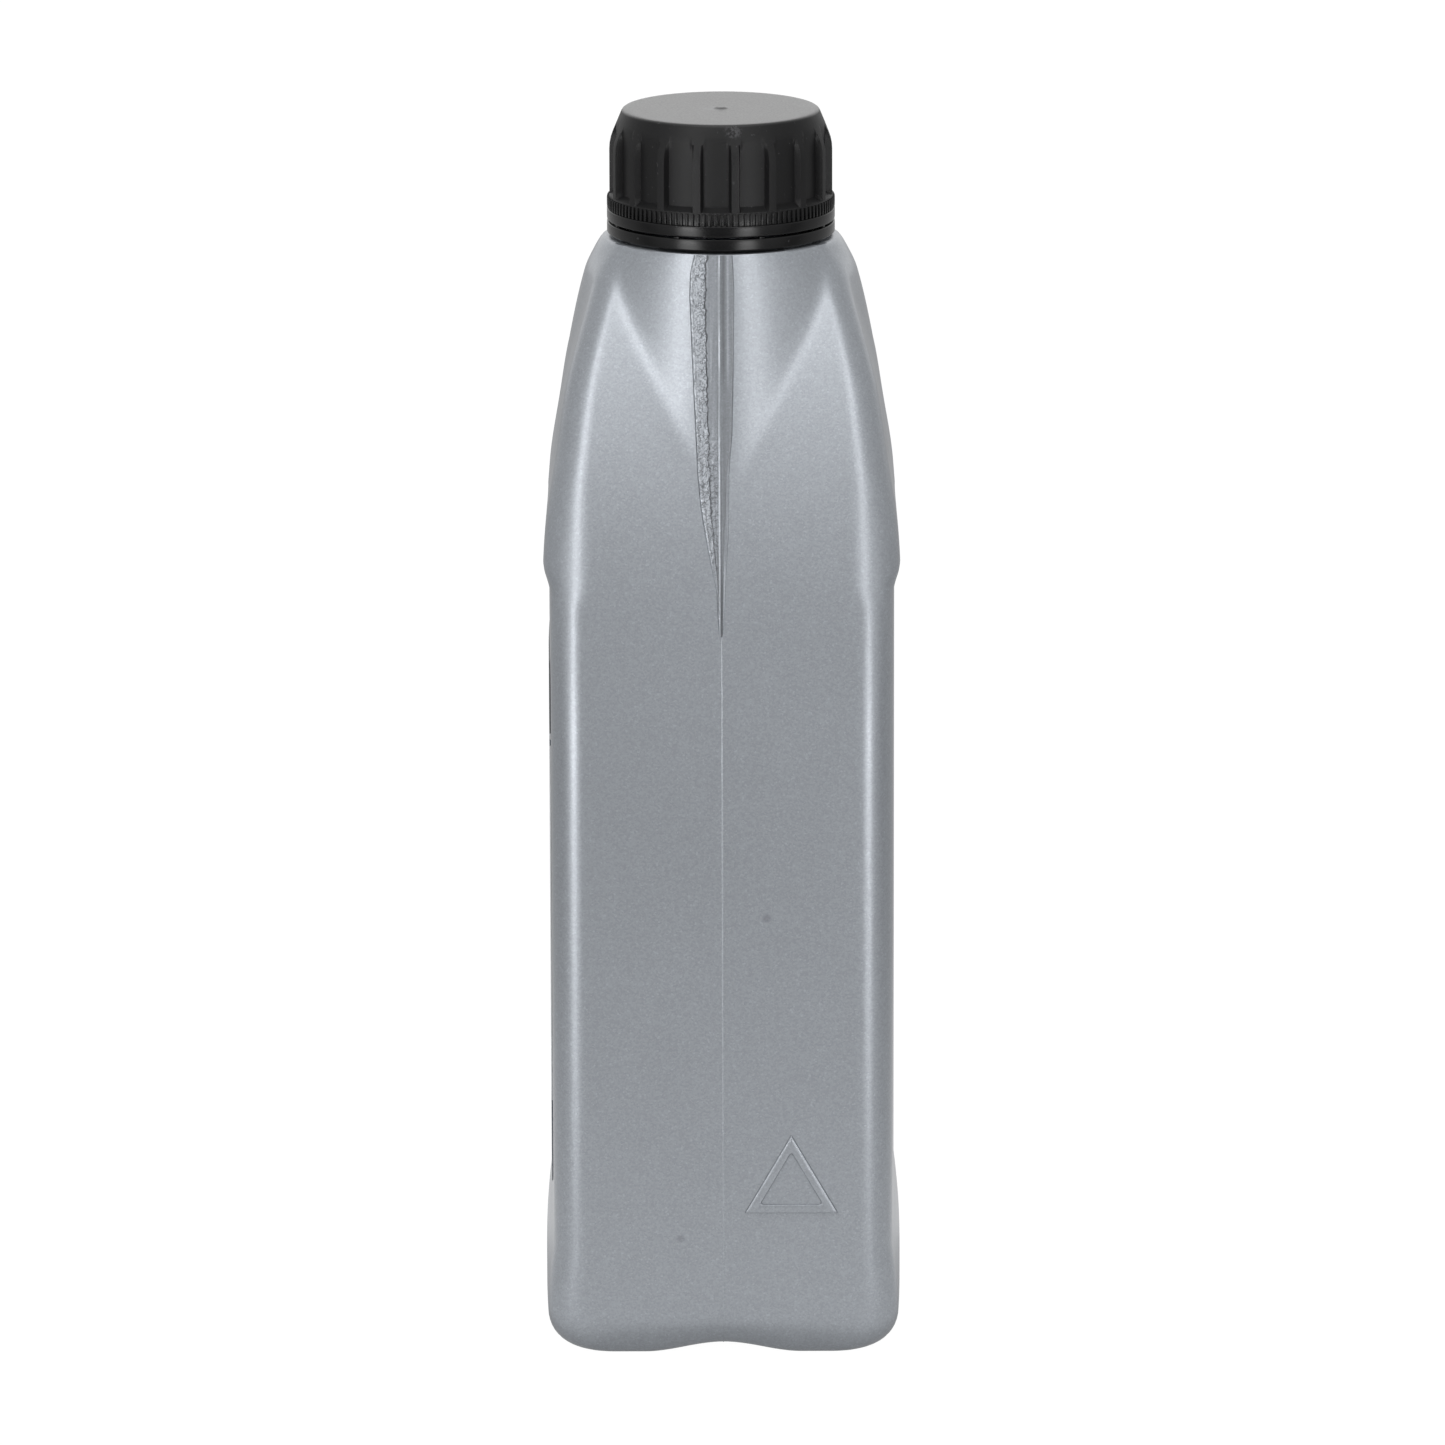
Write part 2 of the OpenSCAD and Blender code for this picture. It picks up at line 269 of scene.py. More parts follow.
class Tree:
    """A node tree, written as expressions."""

    def __init__(self, nodes):
        self.nodes = nodes

    @staticmethod
    def find(sockets, key):
        if isinstance(key, int):
            return sockets[key]
        return next(s for s in sockets if s.enabled and key in (s.identifier, s.name))

    def add(self, kind, settings=None, inputs=None, output=0):
        """Adds a node of a kind: its settings first, then the values or wires of its inputs."""
        node = self.nodes.nodes.new(kind)
        for name, value in (settings or {}).items():
            setattr(node, name, value)
        for key, value in (inputs or {}).items():
            self.feed(node, key, value)
        return Wire(self, self.find(node.outputs, output)) if node.outputs else node

    def vector(self, **parts):
        """A vector from wires or values for X, Y and Z."""
        return self.add("ShaderNodeCombineXYZ", None, parts)

    def split(self, vector):
        """The three parts of a vector."""
        x = self.add("ShaderNodeSeparateXYZ", None, {"Vector": vector}, "X")
        return x, x.out("Y"), x.out("Z")

    def feed(self, node, key, value):
        socket = self.find(node.inputs, key)
        if isinstance(value, Wire):
            self.nodes.links.new(value.socket, socket)
        else:
            socket.default_value = value


# Geometry node trees


def new_tree(name, inputs):
    """A geometry tree with named inputs. Gives the tree and a wire for each input."""
    group = bpy.data.node_groups.new(name, "GeometryNodeTree")
    group.interface.new_socket("Geometry", in_out="OUTPUT", socket_type="NodeSocketGeometry")
    for label, kind in inputs.items():
        group.interface.new_socket(label, in_out="INPUT", socket_type="NodeSocket" + kind)
    tree = Tree(group)
    entry = group.nodes.new("NodeGroupInput")
    wires = {label: Wire(tree, entry.outputs[label]) for label in inputs}
    return tree, wires


def end_tree(tree, geometry, material):
    """Ends a tree: instances made real, shaded smooth, with their material."""
    real = tree.add("GeometryNodeRealizeInstances", None, {"Geometry": geometry})
    smooth = tree.add("GeometryNodeSetShadeSmooth", None, {"Geometry": real, "Shade Smooth": True})
    dressed = tree.add("GeometryNodeSetMaterial", None, {"Geometry": smooth, "Material": material})
    leave = tree.nodes.nodes.new("NodeGroupOutput")
    tree.nodes.links.new(dressed.socket, leave.inputs["Geometry"])
    return tree.nodes


def turned_tree():
    """Turns a section about Z. Flutes take the wall down to a radius between ribs, above their foot."""
    tree, given = new_tree("turned_section", {
        "Section": "Geometry", "Segments": "Int", "Turn": "Float", "Ribs": "Float", "Flute Share": "Float",
        "Flute Radius": "Float", "Flute Foot": "Float", "Flute Edge": "Float", "Material": "Material",
    })
    section = given["Section"]
    rows = tree.add(
        "GeometryNodeAttributeDomainSize", {"component": "MESH"}, {"Geometry": section}, "Point Count")
    grid = tree.add("GeometryNodeMeshGrid", None, {
        "Size X": 1.0, "Size Y": 1.0, "Vertices X": given["Segments"] + 1, "Vertices Y": rows,
    }, "Mesh")
    index = tree.add("GeometryNodeInputIndex")
    place = tree.add("GeometryNodeSampleIndex", {"data_type": "FLOAT_VECTOR"}, {
        "Geometry": section, "Value": tree.add("GeometryNodeInputPosition"), "Index": index % rows,
    })
    radius, _, height = tree.split(place)
    angle = (index / rows).floor() / given["Segments"] * math.tau
    phase = abs((angle * given["Ribs"] / math.tau + 0.5) % 1.0 - 0.5)
    depth = (radius - given["Flute Radius"]).most(0.0)
    rounding = (depth / FLUTE_ROUNDING).least(1.0)
    half_share = given["Flute Share"] / 2 * rounding.calc("SQRT", rounding)
    across = phase.ease(half_share + given["Flute Edge"], half_share - given["Flute Edge"])
    upward = height.ease(given["Flute Foot"], given["Flute Foot"] + CAP_EDGE)
    worn = radius - across * upward * depth
    around = angle + given["Turn"] - math.pi / 2
    spot = tree.vector(X=worn * around.cosine(), Y=worn * around.sine(), Z=height)
    wrapped = tree.add("GeometryNodeSetPosition", None, {"Geometry": grid, "Position": spot})
    closed = tree.add("GeometryNodeMergeByDistance", None, {"Geometry": wrapped, "Distance": MERGE_GAP})
    return end_tree(tree, closed, given["Material"])


def bars_tree():
    """Sets rounded bars upright in a circle, as knurls or as the bridges of the tear ring."""
    tree, given = new_tree("bars_in_a_circle", {
        "Count": "Int", "Radius": "Float", "Turn": "Float", "Foot": "Float",
        "Width": "Float", "Depth": "Float", "Height": "Float", "Material": "Material",
    })
    size = tree.vector(X=given["Depth"], Y=given["Width"], Z=given["Height"])
    block = tree.add("GeometryNodeMeshCube", None, {
        "Size": size, "Vertices X": 2, "Vertices Y": 2, "Vertices Z": 4,
    }, "Mesh")
    bar = tree.add("GeometryNodeSubdivisionSurface", None, {
        "Mesh": block, "Level": 1, "Edge Crease": BAR_CREASE,
    })
    circle = tree.add("GeometryNodeMeshCircle", None, {"Vertices": given["Count"], "Radius": given["Radius"]})
    x, y, _ = tree.split(tree.add("GeometryNodeInputPosition"))
    bars = tree.add("GeometryNodeInstanceOnPoints", None, {
        "Points": circle, "Instance": bar, "Rotation": tree.vector(Z=x.calc("ARCTAN2", y, x)),
    })
    lift = tree.vector(Z=given["Foot"] + given["Height"] / 2)
    turn = tree.vector(Z=given["Turn"] - math.pi / 2)
    moved = tree.add("GeometryNodeTransform", None, {"Geometry": bars, "Translation": lift, "Rotation": turn})
    return end_tree(tree, moved, given["Material"])


def thread_tree():
    """Winds a round-backed thread about Z, its two ends running out."""
    tree, given = new_tree("screw_thread", {
        "Radius": "Float", "Pitch": "Float", "Turns": "Float", "Foot": "Float", "Depth": "Float",
        "Material": "Material",
    })
    helix = tree.add("GeometryNodeCurveSpiral", None, {
        "Resolution": THREAD_STEPS, "Rotations": given["Turns"], "Start Radius": given["Radius"],
        "End Radius": given["Radius"], "Height": given["Pitch"] * given["Turns"],
    })
    along = tree.add("GeometryNodeSplineParameter", None, None, "Factor")
    run_out = along.ease(0.0, THREAD_RUN_OUT) * along.ease(1.0, 1 - THREAD_RUN_OUT)
    tapered = tree.add("GeometryNodeSetCurveRadius", None, {
        "Curve": helix, "Radius": run_out.most(THREAD_TIP),
    })
    outline = tree.add("GeometryNodeCurvePrimitiveCircle", {"mode": "RADIUS"}, {
        "Resolution": THREAD_FACETS, "Radius": given["Depth"],
    })
    ridge = tree.add("GeometryNodeCurveToMesh", None, {
        "Curve": tapered, "Profile Curve": outline, "Scale": tree.add("GeometryNodeInputRadius"),
        "Fill Caps": True,
    })
    moved = tree.add("GeometryNodeTransform", None, {
        "Geometry": ridge, "Translation": tree.vector(Z=given["Foot"]),
    })
    return end_tree(tree, moved, given["Material"])


def grown(group, values, section=()):
    """The plain mesh that a geometry tree makes from a section's points and its inputs' values."""
    base = bpy.data.meshes.new("section")
    base.from_pydata([(r, 0.0, z) for r, z in section], [], [])
    carrier = bpy.data.objects.new("section", base)
    bpy.context.scene.collection.objects.link(carrier)
    modifier = carrier.modifiers.new("grow", "NODES")
    modifier.node_group = group
    sockets = {s.name: s.identifier for s in group.interface.items_tree if s.in_out == "INPUT"}
    for name, value in values.items():
        modifier[sockets[name]] = value
    view = bpy.context.evaluated_depsgraph_get()
    mesh = bpy.data.meshes.new_from_object(carrier.evaluated_get(view))
    carrier.modifiers.remove(modifier)
    bpy.data.objects.remove(carrier)
    bpy.data.meshes.remove(base)
    return mesh


# Meshes


def made(name, vertices, faces):
    """A mesh of smooth faces."""
    mesh = bpy.data.meshes.new(name)
    mesh.from_pydata([tuple(v) for v in vertices], [], faces)
    mesh.update()
    mesh.polygons.foreach_set("use_smooth", [True] * len(mesh.polygons))
    return mesh


def piece(name, meshes, material, sharp_deg=PLAIN_SHARP):
    """One object from several meshes, with one material."""
    objects = []
    for mesh in meshes:
        mesh.materials.clear()
        mesh.materials.append(material)
        item = bpy.data.objects.new(name, mesh)
        bpy.context.scene.collection.objects.link(item)
        objects.append(item)
    whole = objects[0]
    if len(objects) > 1:
        with bpy.context.temp_override(
            active_object=whole, object=whole, selected_objects=objects, selected_editable_objects=objects
        ):
            bpy.ops.object.join()
    whole.name = name
    whole.data.name = name
    whole.data.set_sharp_from_angle(angle=math.radians(sharp_deg))
    return whole


def ring_faces(rings, columns, first=0):
    """Quads between rings of as many points each, whose first point has the number first."""
    faces = []
    for i in range(rings - 1):
        low = first + i * columns
        for j in range(columns):
            k = (j + 1) % columns
            faces.append((low + j, low + k, low + columns + k, low + columns + j))
    return faces


def rounded_outline(corners, radius, steps=4, longest=None, closed=False):
    """An outline with its corners rounded, and its straight stretches cut to a longest step.

    A corner is a point, or a point and a radius of its own as a third number."""
    radii = [c[2] if len(c) > 2 else radius for c in corners]
    corners = [Vector(c[:2]) for c in corners]
    points = []
    for i, corner in enumerate(corners):
        ends = not closed and i in (0, len(corners) - 1)
        back = corners[i - 1] - corner
        on = corners[(i + 1) % len(corners)] - corner
        if ends or back.length == 0 or on.length == 0:
            points.append(corner)
            continue
        turn = math.pi - back.angle(on)
        room = LARGEST_CORNER * min(back.length, on.length)
        reach = min(radii[i] * math.tan(turn / 2), room)
        start = corner + back.normalized() * reach
        stop = corner + on.normalized() * reach
        for k in range(steps + 1):
            t = k / steps
            points.append(start * (1 - t) ** 2 + corner * 2 * t * (1 - t) + stop * t**2)
    if longest is None:
        return points
    cut = [points[0]]
    for a, b in zip(points, points[1:] + (points[:1] if closed else [])):
        parts = max(1, math.ceil((b - a).length / longest))
        cut += [a.lerp(b, k / parts) for k in range(1, parts + 1)]
    return cut[:-1] if closed else cut


# Shape of the blown body


def ease(t):
    c = np.clip(t, 0.0, 1.0)
    return c * c * (3 - 2 * c)


def arc_drop(rise, radius):
    """How far an arc has turned away from its tangent after a rise."""
    up = np.maximum(rise, 0.0)
    return radius - np.sqrt(radius**2 - up**2)


def arch(y):
    return np.maximum(0.0, 1 - (y / PANEL_HALF) ** 2)


def half_depth(z, y):
    foot_line = FOOT_HEIGHT + FOOT_RISE * arch(y)
    panel_line = PANEL_TOP + PANEL_ARCH * arch(y)
    return (
        HALF_D
        + FOOT_FLARE * (1 - np.clip((z - foot_line) / FOOT_FADE, 0.0, 1.0) ** FOOT_BEND)
        + SHOULDER_FLARE * ease((z - panel_line) / SHOULDER_FADE)
        - arc_drop(z - SHOULDER_START, SHOULDER_R)
    )


def cone_x(z):
    foot = CONE_DEPTH_SHARE * half_depth(CONE_FOOT, 0.0)
    below = np.maximum(0.0, SHOULDER_TOP - z) / CONE_HEIGHT
    return SHOULDER_TOP_R + (foot - SHOULDER_TOP_R) * below**CONE_DEPTH_BEND


def cone_y(z):
    return SHOULDER_TOP_R + math.tan(CONE_LEAN) * np.maximum(0.0, SHOULDER_TOP - z)


def half_width(z):
    lean = HALF_W - arc_drop(z - SIDE_ARC_START, SIDE_ARC_R)
    return np.maximum(lean, HIDDEN_SHARE * cone_y(np.maximum(z, CONE_FOOT)))


def corner_radius(z):
    """The corners are rounder in the lower shoulder than beside the panel and near the neck."""
    above_panel = ease((z - PANEL_TOP) / SHOULDER_FADE)
    towards_neck = ease((z - SHOULDER_START) / (SHOULDER_TOP - SHOULDER_START))
    return CORNER_R + CORNER_GROWTH * (above_panel * (1 - towards_neck))


def skin_point(px, py, z, inset=0.0):
    """A point of the plain section, spread to the body's depth and pushed out to the cone below the neck."""
    bulge = PANEL_BULGE * arch(py) * (1 - ease((z - PANEL_TOP) / (STEP_TOP - PANEL_TOP)))
    hollow = SHOULDER_HOLLOW * arch(py) * ease(1 - np.abs(z - HOLLOW_Z) / HOLLOW_REACH)
    plain = HALF_D - inset
    deep = half_depth(z, py) + bulge - hollow - inset
    core = HALF_D - corner_radius(z)
    grown_corner = np.maximum(0.0, deep - plain) * np.maximum(0.0, np.abs(px) - core) / (plain - core)
    x = px * np.minimum(1.0, deep / plain) + np.sign(px) * grown_corner
    share = np.hypot(x / (cone_x(z) - inset), py / (cone_y(z) - inset))
    lead = 1 / share - 1
    climb = np.maximum(0.0, z - CONE_FOOT) / CONE_HEIGHT
    soft = 2 * CREASE_SHARE * climb**2 * ease((1 - climb) / CREASE_END_SHARE)
    push = np.where(z < CONE_FOOT, 1.0, 1 + (lead + np.sqrt(lead**2 + soft**2)) / 2)
    return x * push, py * push


def section_ring(a, b, r):
    """One ring of the plain section: half sizes a and b, corner radius r, from the front's left corner on."""
    ca = a - r
    cb = b - r
    t = np.arange(CORNER_FACETS) / CORNER_FACETS * math.pi / 2
    s = r * np.sin(t)
    c = r * np.cos(t)
    narrow = np.linspace(-ca, ca, NARROW_FACETS, endpoint=False)
    broad = np.linspace(-cb, cb, BROAD_FACETS, endpoint=False)
    x = np.concatenate([narrow, ca + s, np.full(BROAD_FACETS, a), ca + c,
                        -narrow, -ca - s, np.full(BROAD_FACETS, -a), -ca - c])
    y = np.concatenate([np.full(NARROW_FACETS, -b), -cb - c, broad, cb + s,
                        np.full(NARROW_FACETS, b), cb + c, -broad, -cb - s])
    return x, y


def groove(x, above):
    lift = GROOVE_HEIGHT * (1 - ease(np.abs(x) / (GROOVE_WIDTH / 2)))
    return lift * np.maximum(0.0, 1 - above / GROOVE_FADE) ** 2


def body_ring(z, inset=0.0, edge=0.0, scale=1.0):
    """One ring of the blown body, drawn in by the wall, by the base's edge and towards the base's middle."""
    px, py = section_ring(HALF_D - inset, float(half_width(z)) - inset, float(corner_radius(z)) - inset)
    x, y = skin_point(px, py, np.full_like(px, z), inset)
    depth = half_depth(z, py) - inset
    width = half_width(z) - inset
    x = x * (depth - edge) / depth * scale
    y = y * (width - edge * BASE_FRONT_SHARE) / width * scale
    return np.stack([x, y, z + groove(x, z)], axis=1)


def closing_steps(a, b, n):
    """Steps from a to b, without b, that grow shorter towards b."""
    return b - (b - a) * (np.arange(n, 0, -1) / n) ** 2


def even_steps(a, b, n):
    return np.linspace(a, b, n, endpoint=False)


def skin(inset, rows, edges):
    """The rings of one skin of the body, from the middle of its base up to the shoulder's top."""
    radius = BASE_R - inset
    turns = [math.pi / 2 * (1 - k / edges) for k in range(edges)]
    rings = [body_ring(0.0, inset, radius, k / BASE_RINGS) for k in range(1, BASE_RINGS)]
    rings += [body_ring(radius * (1 - math.sin(t)), inset, radius * (1 - math.cos(t))) for t in turns]
    return rings + [body_ring(z, inset) for z in rows]


def neck_rings(like):
    """Rings from the shoulder's ledge up the neck, over the rim and down the mouth."""
    bore = NECK_R - NECK_WALL
    outline = rounded_outline([
        (SHOULDER_TOP_R, SHOULDER_TOP), (NECK_R, SHOULDER_TOP), (NECK_R, BEAD_Z),
        (NECK_R + BEAD_STEP, BEAD_Z),
        (NECK_R, BEAD_Z + BEAD_HEIGHT), (NECK_R, RIM_Z), (bore, RIM_Z), (bore, SHOULDER_TOP - WALL),
    ], NECK_EDGE)
    angle = np.arctan2(like[:, 1], like[:, 0])
    flat = np.ones_like(angle)
    return [np.stack([p.x * np.cos(angle), p.x * np.sin(angle), p.y * flat], axis=1) for p in outline[1:]]


def blown_shell():
    """The whole blown bottle as one closed skin: outside, neck, mouth and inside."""
    outer_rows = np.concatenate([
        even_steps(BASE_R, FOOT_HEIGHT, HEEL_RINGS),
        even_steps(FOOT_HEIGHT, FOOT_TOP, FOOT_RINGS),
        closing_steps(FOOT_TOP, PANEL_TOP, PANEL_RINGS),
        even_steps(PANEL_TOP, STEP_TOP, STEP_RINGS),
        even_steps(STEP_TOP, SHOULDER_TOP, SHOULDER_RINGS),
        [SHOULDER_TOP],
    ])
    inner_rows = np.concatenate([
        even_steps(BASE_R, FOOT_TOP, HEEL_RINGS),
        closing_steps(FOOT_TOP, STEP_TOP, INNER_PANEL_RINGS),
        closing_steps(STEP_TOP, SHOULDER_TOP, INNER_SHOULDER_RINGS),
    ])
    outer = skin(0.0, outer_rows, EDGE_RINGS)
    neck = neck_rings(outer[-1])
    inner = skin(WALL, inner_rows, INNER_EDGE_RINGS)
    for ring in inner:
        ring[:, 2] += WALL * (1 - 2 * ease(ring[:, 2] / SHOULDER_START))
    rings = outer + neck + inner[::-1]
    columns = len(outer[0])
    low = [0.0, 0.0, float(groove(0.0, 0.0))]
    high = [0.0, 0.0, WALL + float(groove(0.0, 0.0))]
    vertices = np.concatenate([[low], *rings, [high]])
    faces = ring_faces(len(rings), columns, 1)
    last = len(vertices) - 1
    for j in range(columns):
        k = (j + 1) % columns
        faces.append((0, 1 + k, 1 + j))
        faces.append((last, last - columns + j, last - columns + k))
    return made("blown_shell", vertices, faces)


# Relief on the blown body


SCAR_FINE = 0.13 * MM
SCAR_COARSE = 0.28 * MM
SCAR_STRETCH = 1.25
SCAR_SPAN = 8.6 * MM
SCAR_FITS = 4
SCAR_SINK = 0.5 * MM
# Edges of the trimmed scar left and right of the parting line, and of its dark strip: height and reach in mm
SCAR_LEFT = [(141.4, 0.4), (143, 0.75), (146, 0.95), (150, 1.1), (154, 2.0), (159.3, 3.1), (165, 4.05),
             (170.3, 4.6), (176, 4.9), (189, 5.5), (203, 6.1), (207, 6.0), (210.7, 5.2)]
SCAR_RIGHT = [(141.4, 0.25), (143, 0.5), (147, 0.7), (152, 0.9), (160, 1.45), (171, 1.6), (175.4, 1.9),
              (178.2, 2.2), (190, 2.45), (205, 2.6), (210.7, 2.3)]
SCAR_STRIP = [(141.4, 0.1), (150, 0.25), (160, 0.35), (163, 0.7), (171.5, 0.85), (173.1, 1.15), (175.4, 1.65),
              (178.2, 2.0), (190, 2.25), (205, 2.4), (210.7, 2.1)]
SCAR_FULL = 4 * MM
SCAR_LIP = 0.28 * MM
SCAR_LEVEL = 0.2 * MM
SCAR_BELOW = 0.05 * MM
SCAR_ROUGH = 0.1 * MM
SCAR_SMOOTH = 0.03 * MM
TORN_SHARE = 0.49
TORN_WOBBLE = 0.36 * MM
TORN_EDGE = 0.14 * MM
TORN_STEP = 0.16 * MM
TORN_REACH = 2.0 * MM
RIDGE_X = -0.35 * MM
RIDGE_WIDTH = 0.17 * MM
RIDGE_HEIGHT = 0.17 * MM
STRIP_START = -0.1 * MM
STRIP_EDGE = 0.15 * MM
STRIP_DEPTH = 0.12 * MM
SLOT_Z = 184 * MM
SLOT_RISE = 8 * MM
SLOT_FALL = 12 * MM
SLOT_SIDE = 0.4 * MM
FRINGE_Z = 178 * MM
FRINGE_FADE = 12 * MM
FRINGE_SHARES = [0.78, 0.52, 0.3]
FRINGE_SWAY = 0.12 * MM
FRINGE_WIDTH = 0.13 * MM
FRINGE_DARKENING = 0.42
TAIL_Z = 160 * MM
TAIL_FADE = 14 * MM
# How much darker the scar is drawn: partly the trimmed plastic's own duller tone, partly painted shade
SCAR_DARKENING = 0.14
TRIMMED_DARKENING = 0.3
LOWER_DARKENING = -0.18
STREAK_DARKENING = 0.12
# Painted shade in the sunk strip beside the parting line
STRIP_PAINTED_SHADE = 0.16
# Lines along the scar: where they show, what they run beside, how far off and how wide in mm, and their
# painted shading: a positive amount paints shade along the relief, a negative one a highlight
SCAR_LINES = [
    ("tear", "tear", 0.0, 0.13, 1.0),
    ("all", "ridge", -0.32, 0.12, 0.4),
    ("strip", "seam", 0.42, 0.4, 1.0),
    ("upper", "seam", 1.25, 0.2, -0.5),
    ("all", "strip", 0.0, 0.14, 0.45),
    ("all", "ridge", 0.0, 0.17, -0.95),
    ("rim", "rim", 0.12, 0.13, 0.5),
    ("rim", "rim", 0.72, 0.14, 0.3),
    ("wide", "rim", 0.42, 0.14, -0.3),
    ("middle", "rim", 0.2, 0.2, -0.5),
    ("tail", "seam", 0.0, 0.17, 0.75),
    ("tail", "seam", 0.5, 0.2, -0.6),
    ("tail", "seam", -0.7, 0.15, 0.4),
]


def reach_at(table, z):
    heights = [h * MM for h, _ in table]
    return np.interp(z, heights, [r * MM for _, r in table])


def streak(x, z, across, along, seed):
    """Noise that runs in streaks up the bottle: cells per millimetre across and along."""
    flat = [noise.noise((a / MM * across, b / MM * along, seed)) for a, b in zip(x.ravel(), z.ravel())]
    return np.array(flat).reshape(x.shape)


def line(gap, width):
    """1 on a line, falling off on either side of it over its width."""
    return np.exp(-((gap / width) ** 2))


def scar_relief(x, z, left, right):
    """Height of the trimmed scar over the skin, its duller tone with painted shade and highlights along its
    relief, and where it is crinkled.
    """
    wobble = streak(x * 0, z, 1.0, 0.4, 3.1) + 0.6 * streak(x * 0, z, 1.0, 1.6, 8.4)
    wobble = wobble + 0.35 * streak(x * 0, z, 1.0, 3.6, 6.3)
    rough = streak(x, z, 1.7, 0.8, 1.7) + 0.7 * streak(x, z, 3.4, 1.5, 5.2)
    fine = streak(x, z, 2.6, 0.1, 2.6)
    full = np.clip(left / SCAR_FULL, 0, 1)
    torn = -left * TORN_SHARE + TORN_WOBBLE * wobble * full
    strip_edge = reach_at(SCAR_STRIP, z)
    rough_side = ease((torn - x) / TORN_EDGE)
    strip = ease((x - STRIP_START) / STRIP_EDGE) * ease((strip_edge - x) / STRIP_EDGE)
    upper = ease((z - SLOT_Z) / SLOT_RISE)
    lower = ease((SLOT_Z - z) / SLOT_FALL) * ease((RIDGE_X - x) / SLOT_SIDE)
    middle = ease((FRINGE_Z - z) / FRINGE_FADE)
    lip = ease(np.minimum(x + left, right - x) / SCAR_LIP)
    level = SCAR_LEVEL + rough_side * full * (TORN_STEP + SCAR_ROUGH * rough)
    level = level + (1 - rough_side) * SCAR_SMOOTH * fine
    ridge = RIDGE_HEIGHT * line(x - RIDGE_X, RIDGE_WIDTH)
    relief = lip * (level + ridge - STRIP_DEPTH * strip) - SCAR_BELOW
    trimmed = TRIMMED_DARKENING + LOWER_DARKENING * lower + STREAK_DARKENING * fine
    dark = SCAR_DARKENING + (1 - rough_side) * full * trimmed + STRIP_PAINTED_SHADE * strip
    shown = {
        "all": 1.0, "wide": full, "upper": upper, "middle": middle,
        "tear": (0.6 + 0.5 * rough) * full,
        "strip": (0.1 + 0.3 * upper) * strip,
        "rim": full * (1 - 0.8 * middle),
        "tail": ease((TAIL_Z - z) / TAIL_FADE),
    }
    gap = {"seam": x, "rim": x + left, "tear": x - torn, "ridge": x - RIDGE_X, "strip": x - strip_edge}
    # Painted shade along the scar's ridges, rims, steps and grooves, and painted highlights where the amount
    # is negative
    for where, beside, offset, width, painted_shading in SCAR_LINES:
        dark = dark + painted_shading * shown[where] * line(gap[beside] - offset * MM, width * MM)
    for k, share in enumerate(FRINGE_SHARES):
        sway = FRINGE_SWAY * streak(x * 0, z, 1.0, 1.1, 20.0 + k)
        dark = dark + FRINGE_DARKENING * middle * line(x + share * left - sway, FRINGE_WIDTH)
    crinkled = np.clip(rough_side * (0.25 + line(x - torn, TORN_REACH)) + 0.8 * lower, 0.0, 1.0) * full
    return relief, np.clip(dark, -0.5, 1.0) * lip, crinkled * lip


def pinch_scar(side, fine):
    """The scar of trimming down the cone: a closed sliver, sunk into the wall. Side is -1 in front."""
    low = SCAR_LEFT[0][0] * MM
    high = SCAR_LEFT[-1][0] * MM
    rows = int((high - low) / fine / SCAR_STRETCH)
    columns = int(SCAR_SPAN / fine)
    z = np.linspace(low, high, rows)[:, None] * np.ones(columns)
    left = reach_at(SCAR_LEFT, z)
    right = reach_at(SCAR_RIGHT, z)
    x = -left + (left + right) * np.linspace(0, 1, columns)
    px = x.copy()
    for _ in range(SCAR_FITS):
        found, _ = skin_point(px, -half_width(z), z)
        px = px + (x - found)
    x, y = skin_point(px, -half_width(z), z)
    place = np.stack([x, y, z], axis=2)
    normal = np.cross(np.gradient(place, axis=1), np.gradient(place, axis=0))
    normal /= np.linalg.norm(normal, axis=2, keepdims=True)
    relief, dark, crinkled = scar_relief(x, z, left, right)
    top = place + normal * relief[..., None]
    foot = (place - normal * SCAR_SINK)[:, [0, -1]]
    vertices = np.concatenate([top.reshape(-1, 3), foot.reshape(-1, 3)])
    size = rows * columns
    faces = []
    for i in range(rows - 1):
        a = i * columns
        faces += [(a + j, a + j + 1, a + j + columns + 1, a + j + columns) for j in range(columns - 1)]
        b = size + 2 * i
        faces.append((b, b + 2, b + 3, b + 1))
        faces.append((a, a + columns, b + 2, b))
        faces.append((a + columns - 1, b + 1, b + 3, a + 2 * columns - 1))
    faces.append((*range(columns - 1, -1, -1), size, size + 1))
    last = size - columns
    faces.append((*range(last, size), size + 2 * rows - 1, size + 2 * rows - 2))
    if side > 0:
        vertices = vertices * np.array([-1.0, -1.0, 1.0])
    mesh = made("pinch_scar", vertices, faces)
    # The scar mark holds the darkening: the scar's duller tone with painted shade and highlights along its
    # relief
    for label, values in (("scar", dark), ("crinkle", crinkled)):
        mark = mesh.attributes.new(label, "FLOAT", "POINT")
        mark.data.foreach_set("value", np.concatenate([values.ravel(), np.zeros(2 * rows)]))
    return mesh


SEAM_WIDTH = 0.32 * MM
SEAM_HEIGHT = 0.07 * MM
SEAM_FACETS = 8
SEAM_ROWS = 60
SEAM_EDGE_ROWS = 16
SEAM_LAP = 1 * MM
WELD_ROWS = 24
WELD_WIDTH = 3.2 * MM
WELD_HEIGHT = 0.45 * MM


def seam_path(side):
    """Points down the parting line on one narrow face, from the scar's lower end to the base's edge."""
    rows = np.linspace(SCAR_LEFT[0][0] * MM + SEAM_LAP, BASE_R, SEAM_ROWS)
    points = [(0.0, side * float(half_width(z)), z) for z in rows]
    for t in np.linspace(0, math.pi / 2, SEAM_EDGE_ROWS)[1:]:
        z = BASE_R * (1 - math.sin(t))
        y = HALF_W - BASE_R * BASE_FRONT_SHARE * (1 - math.cos(t))
        points.append((0.0, side * y, z + float(groove(0.0, z))))
    return points


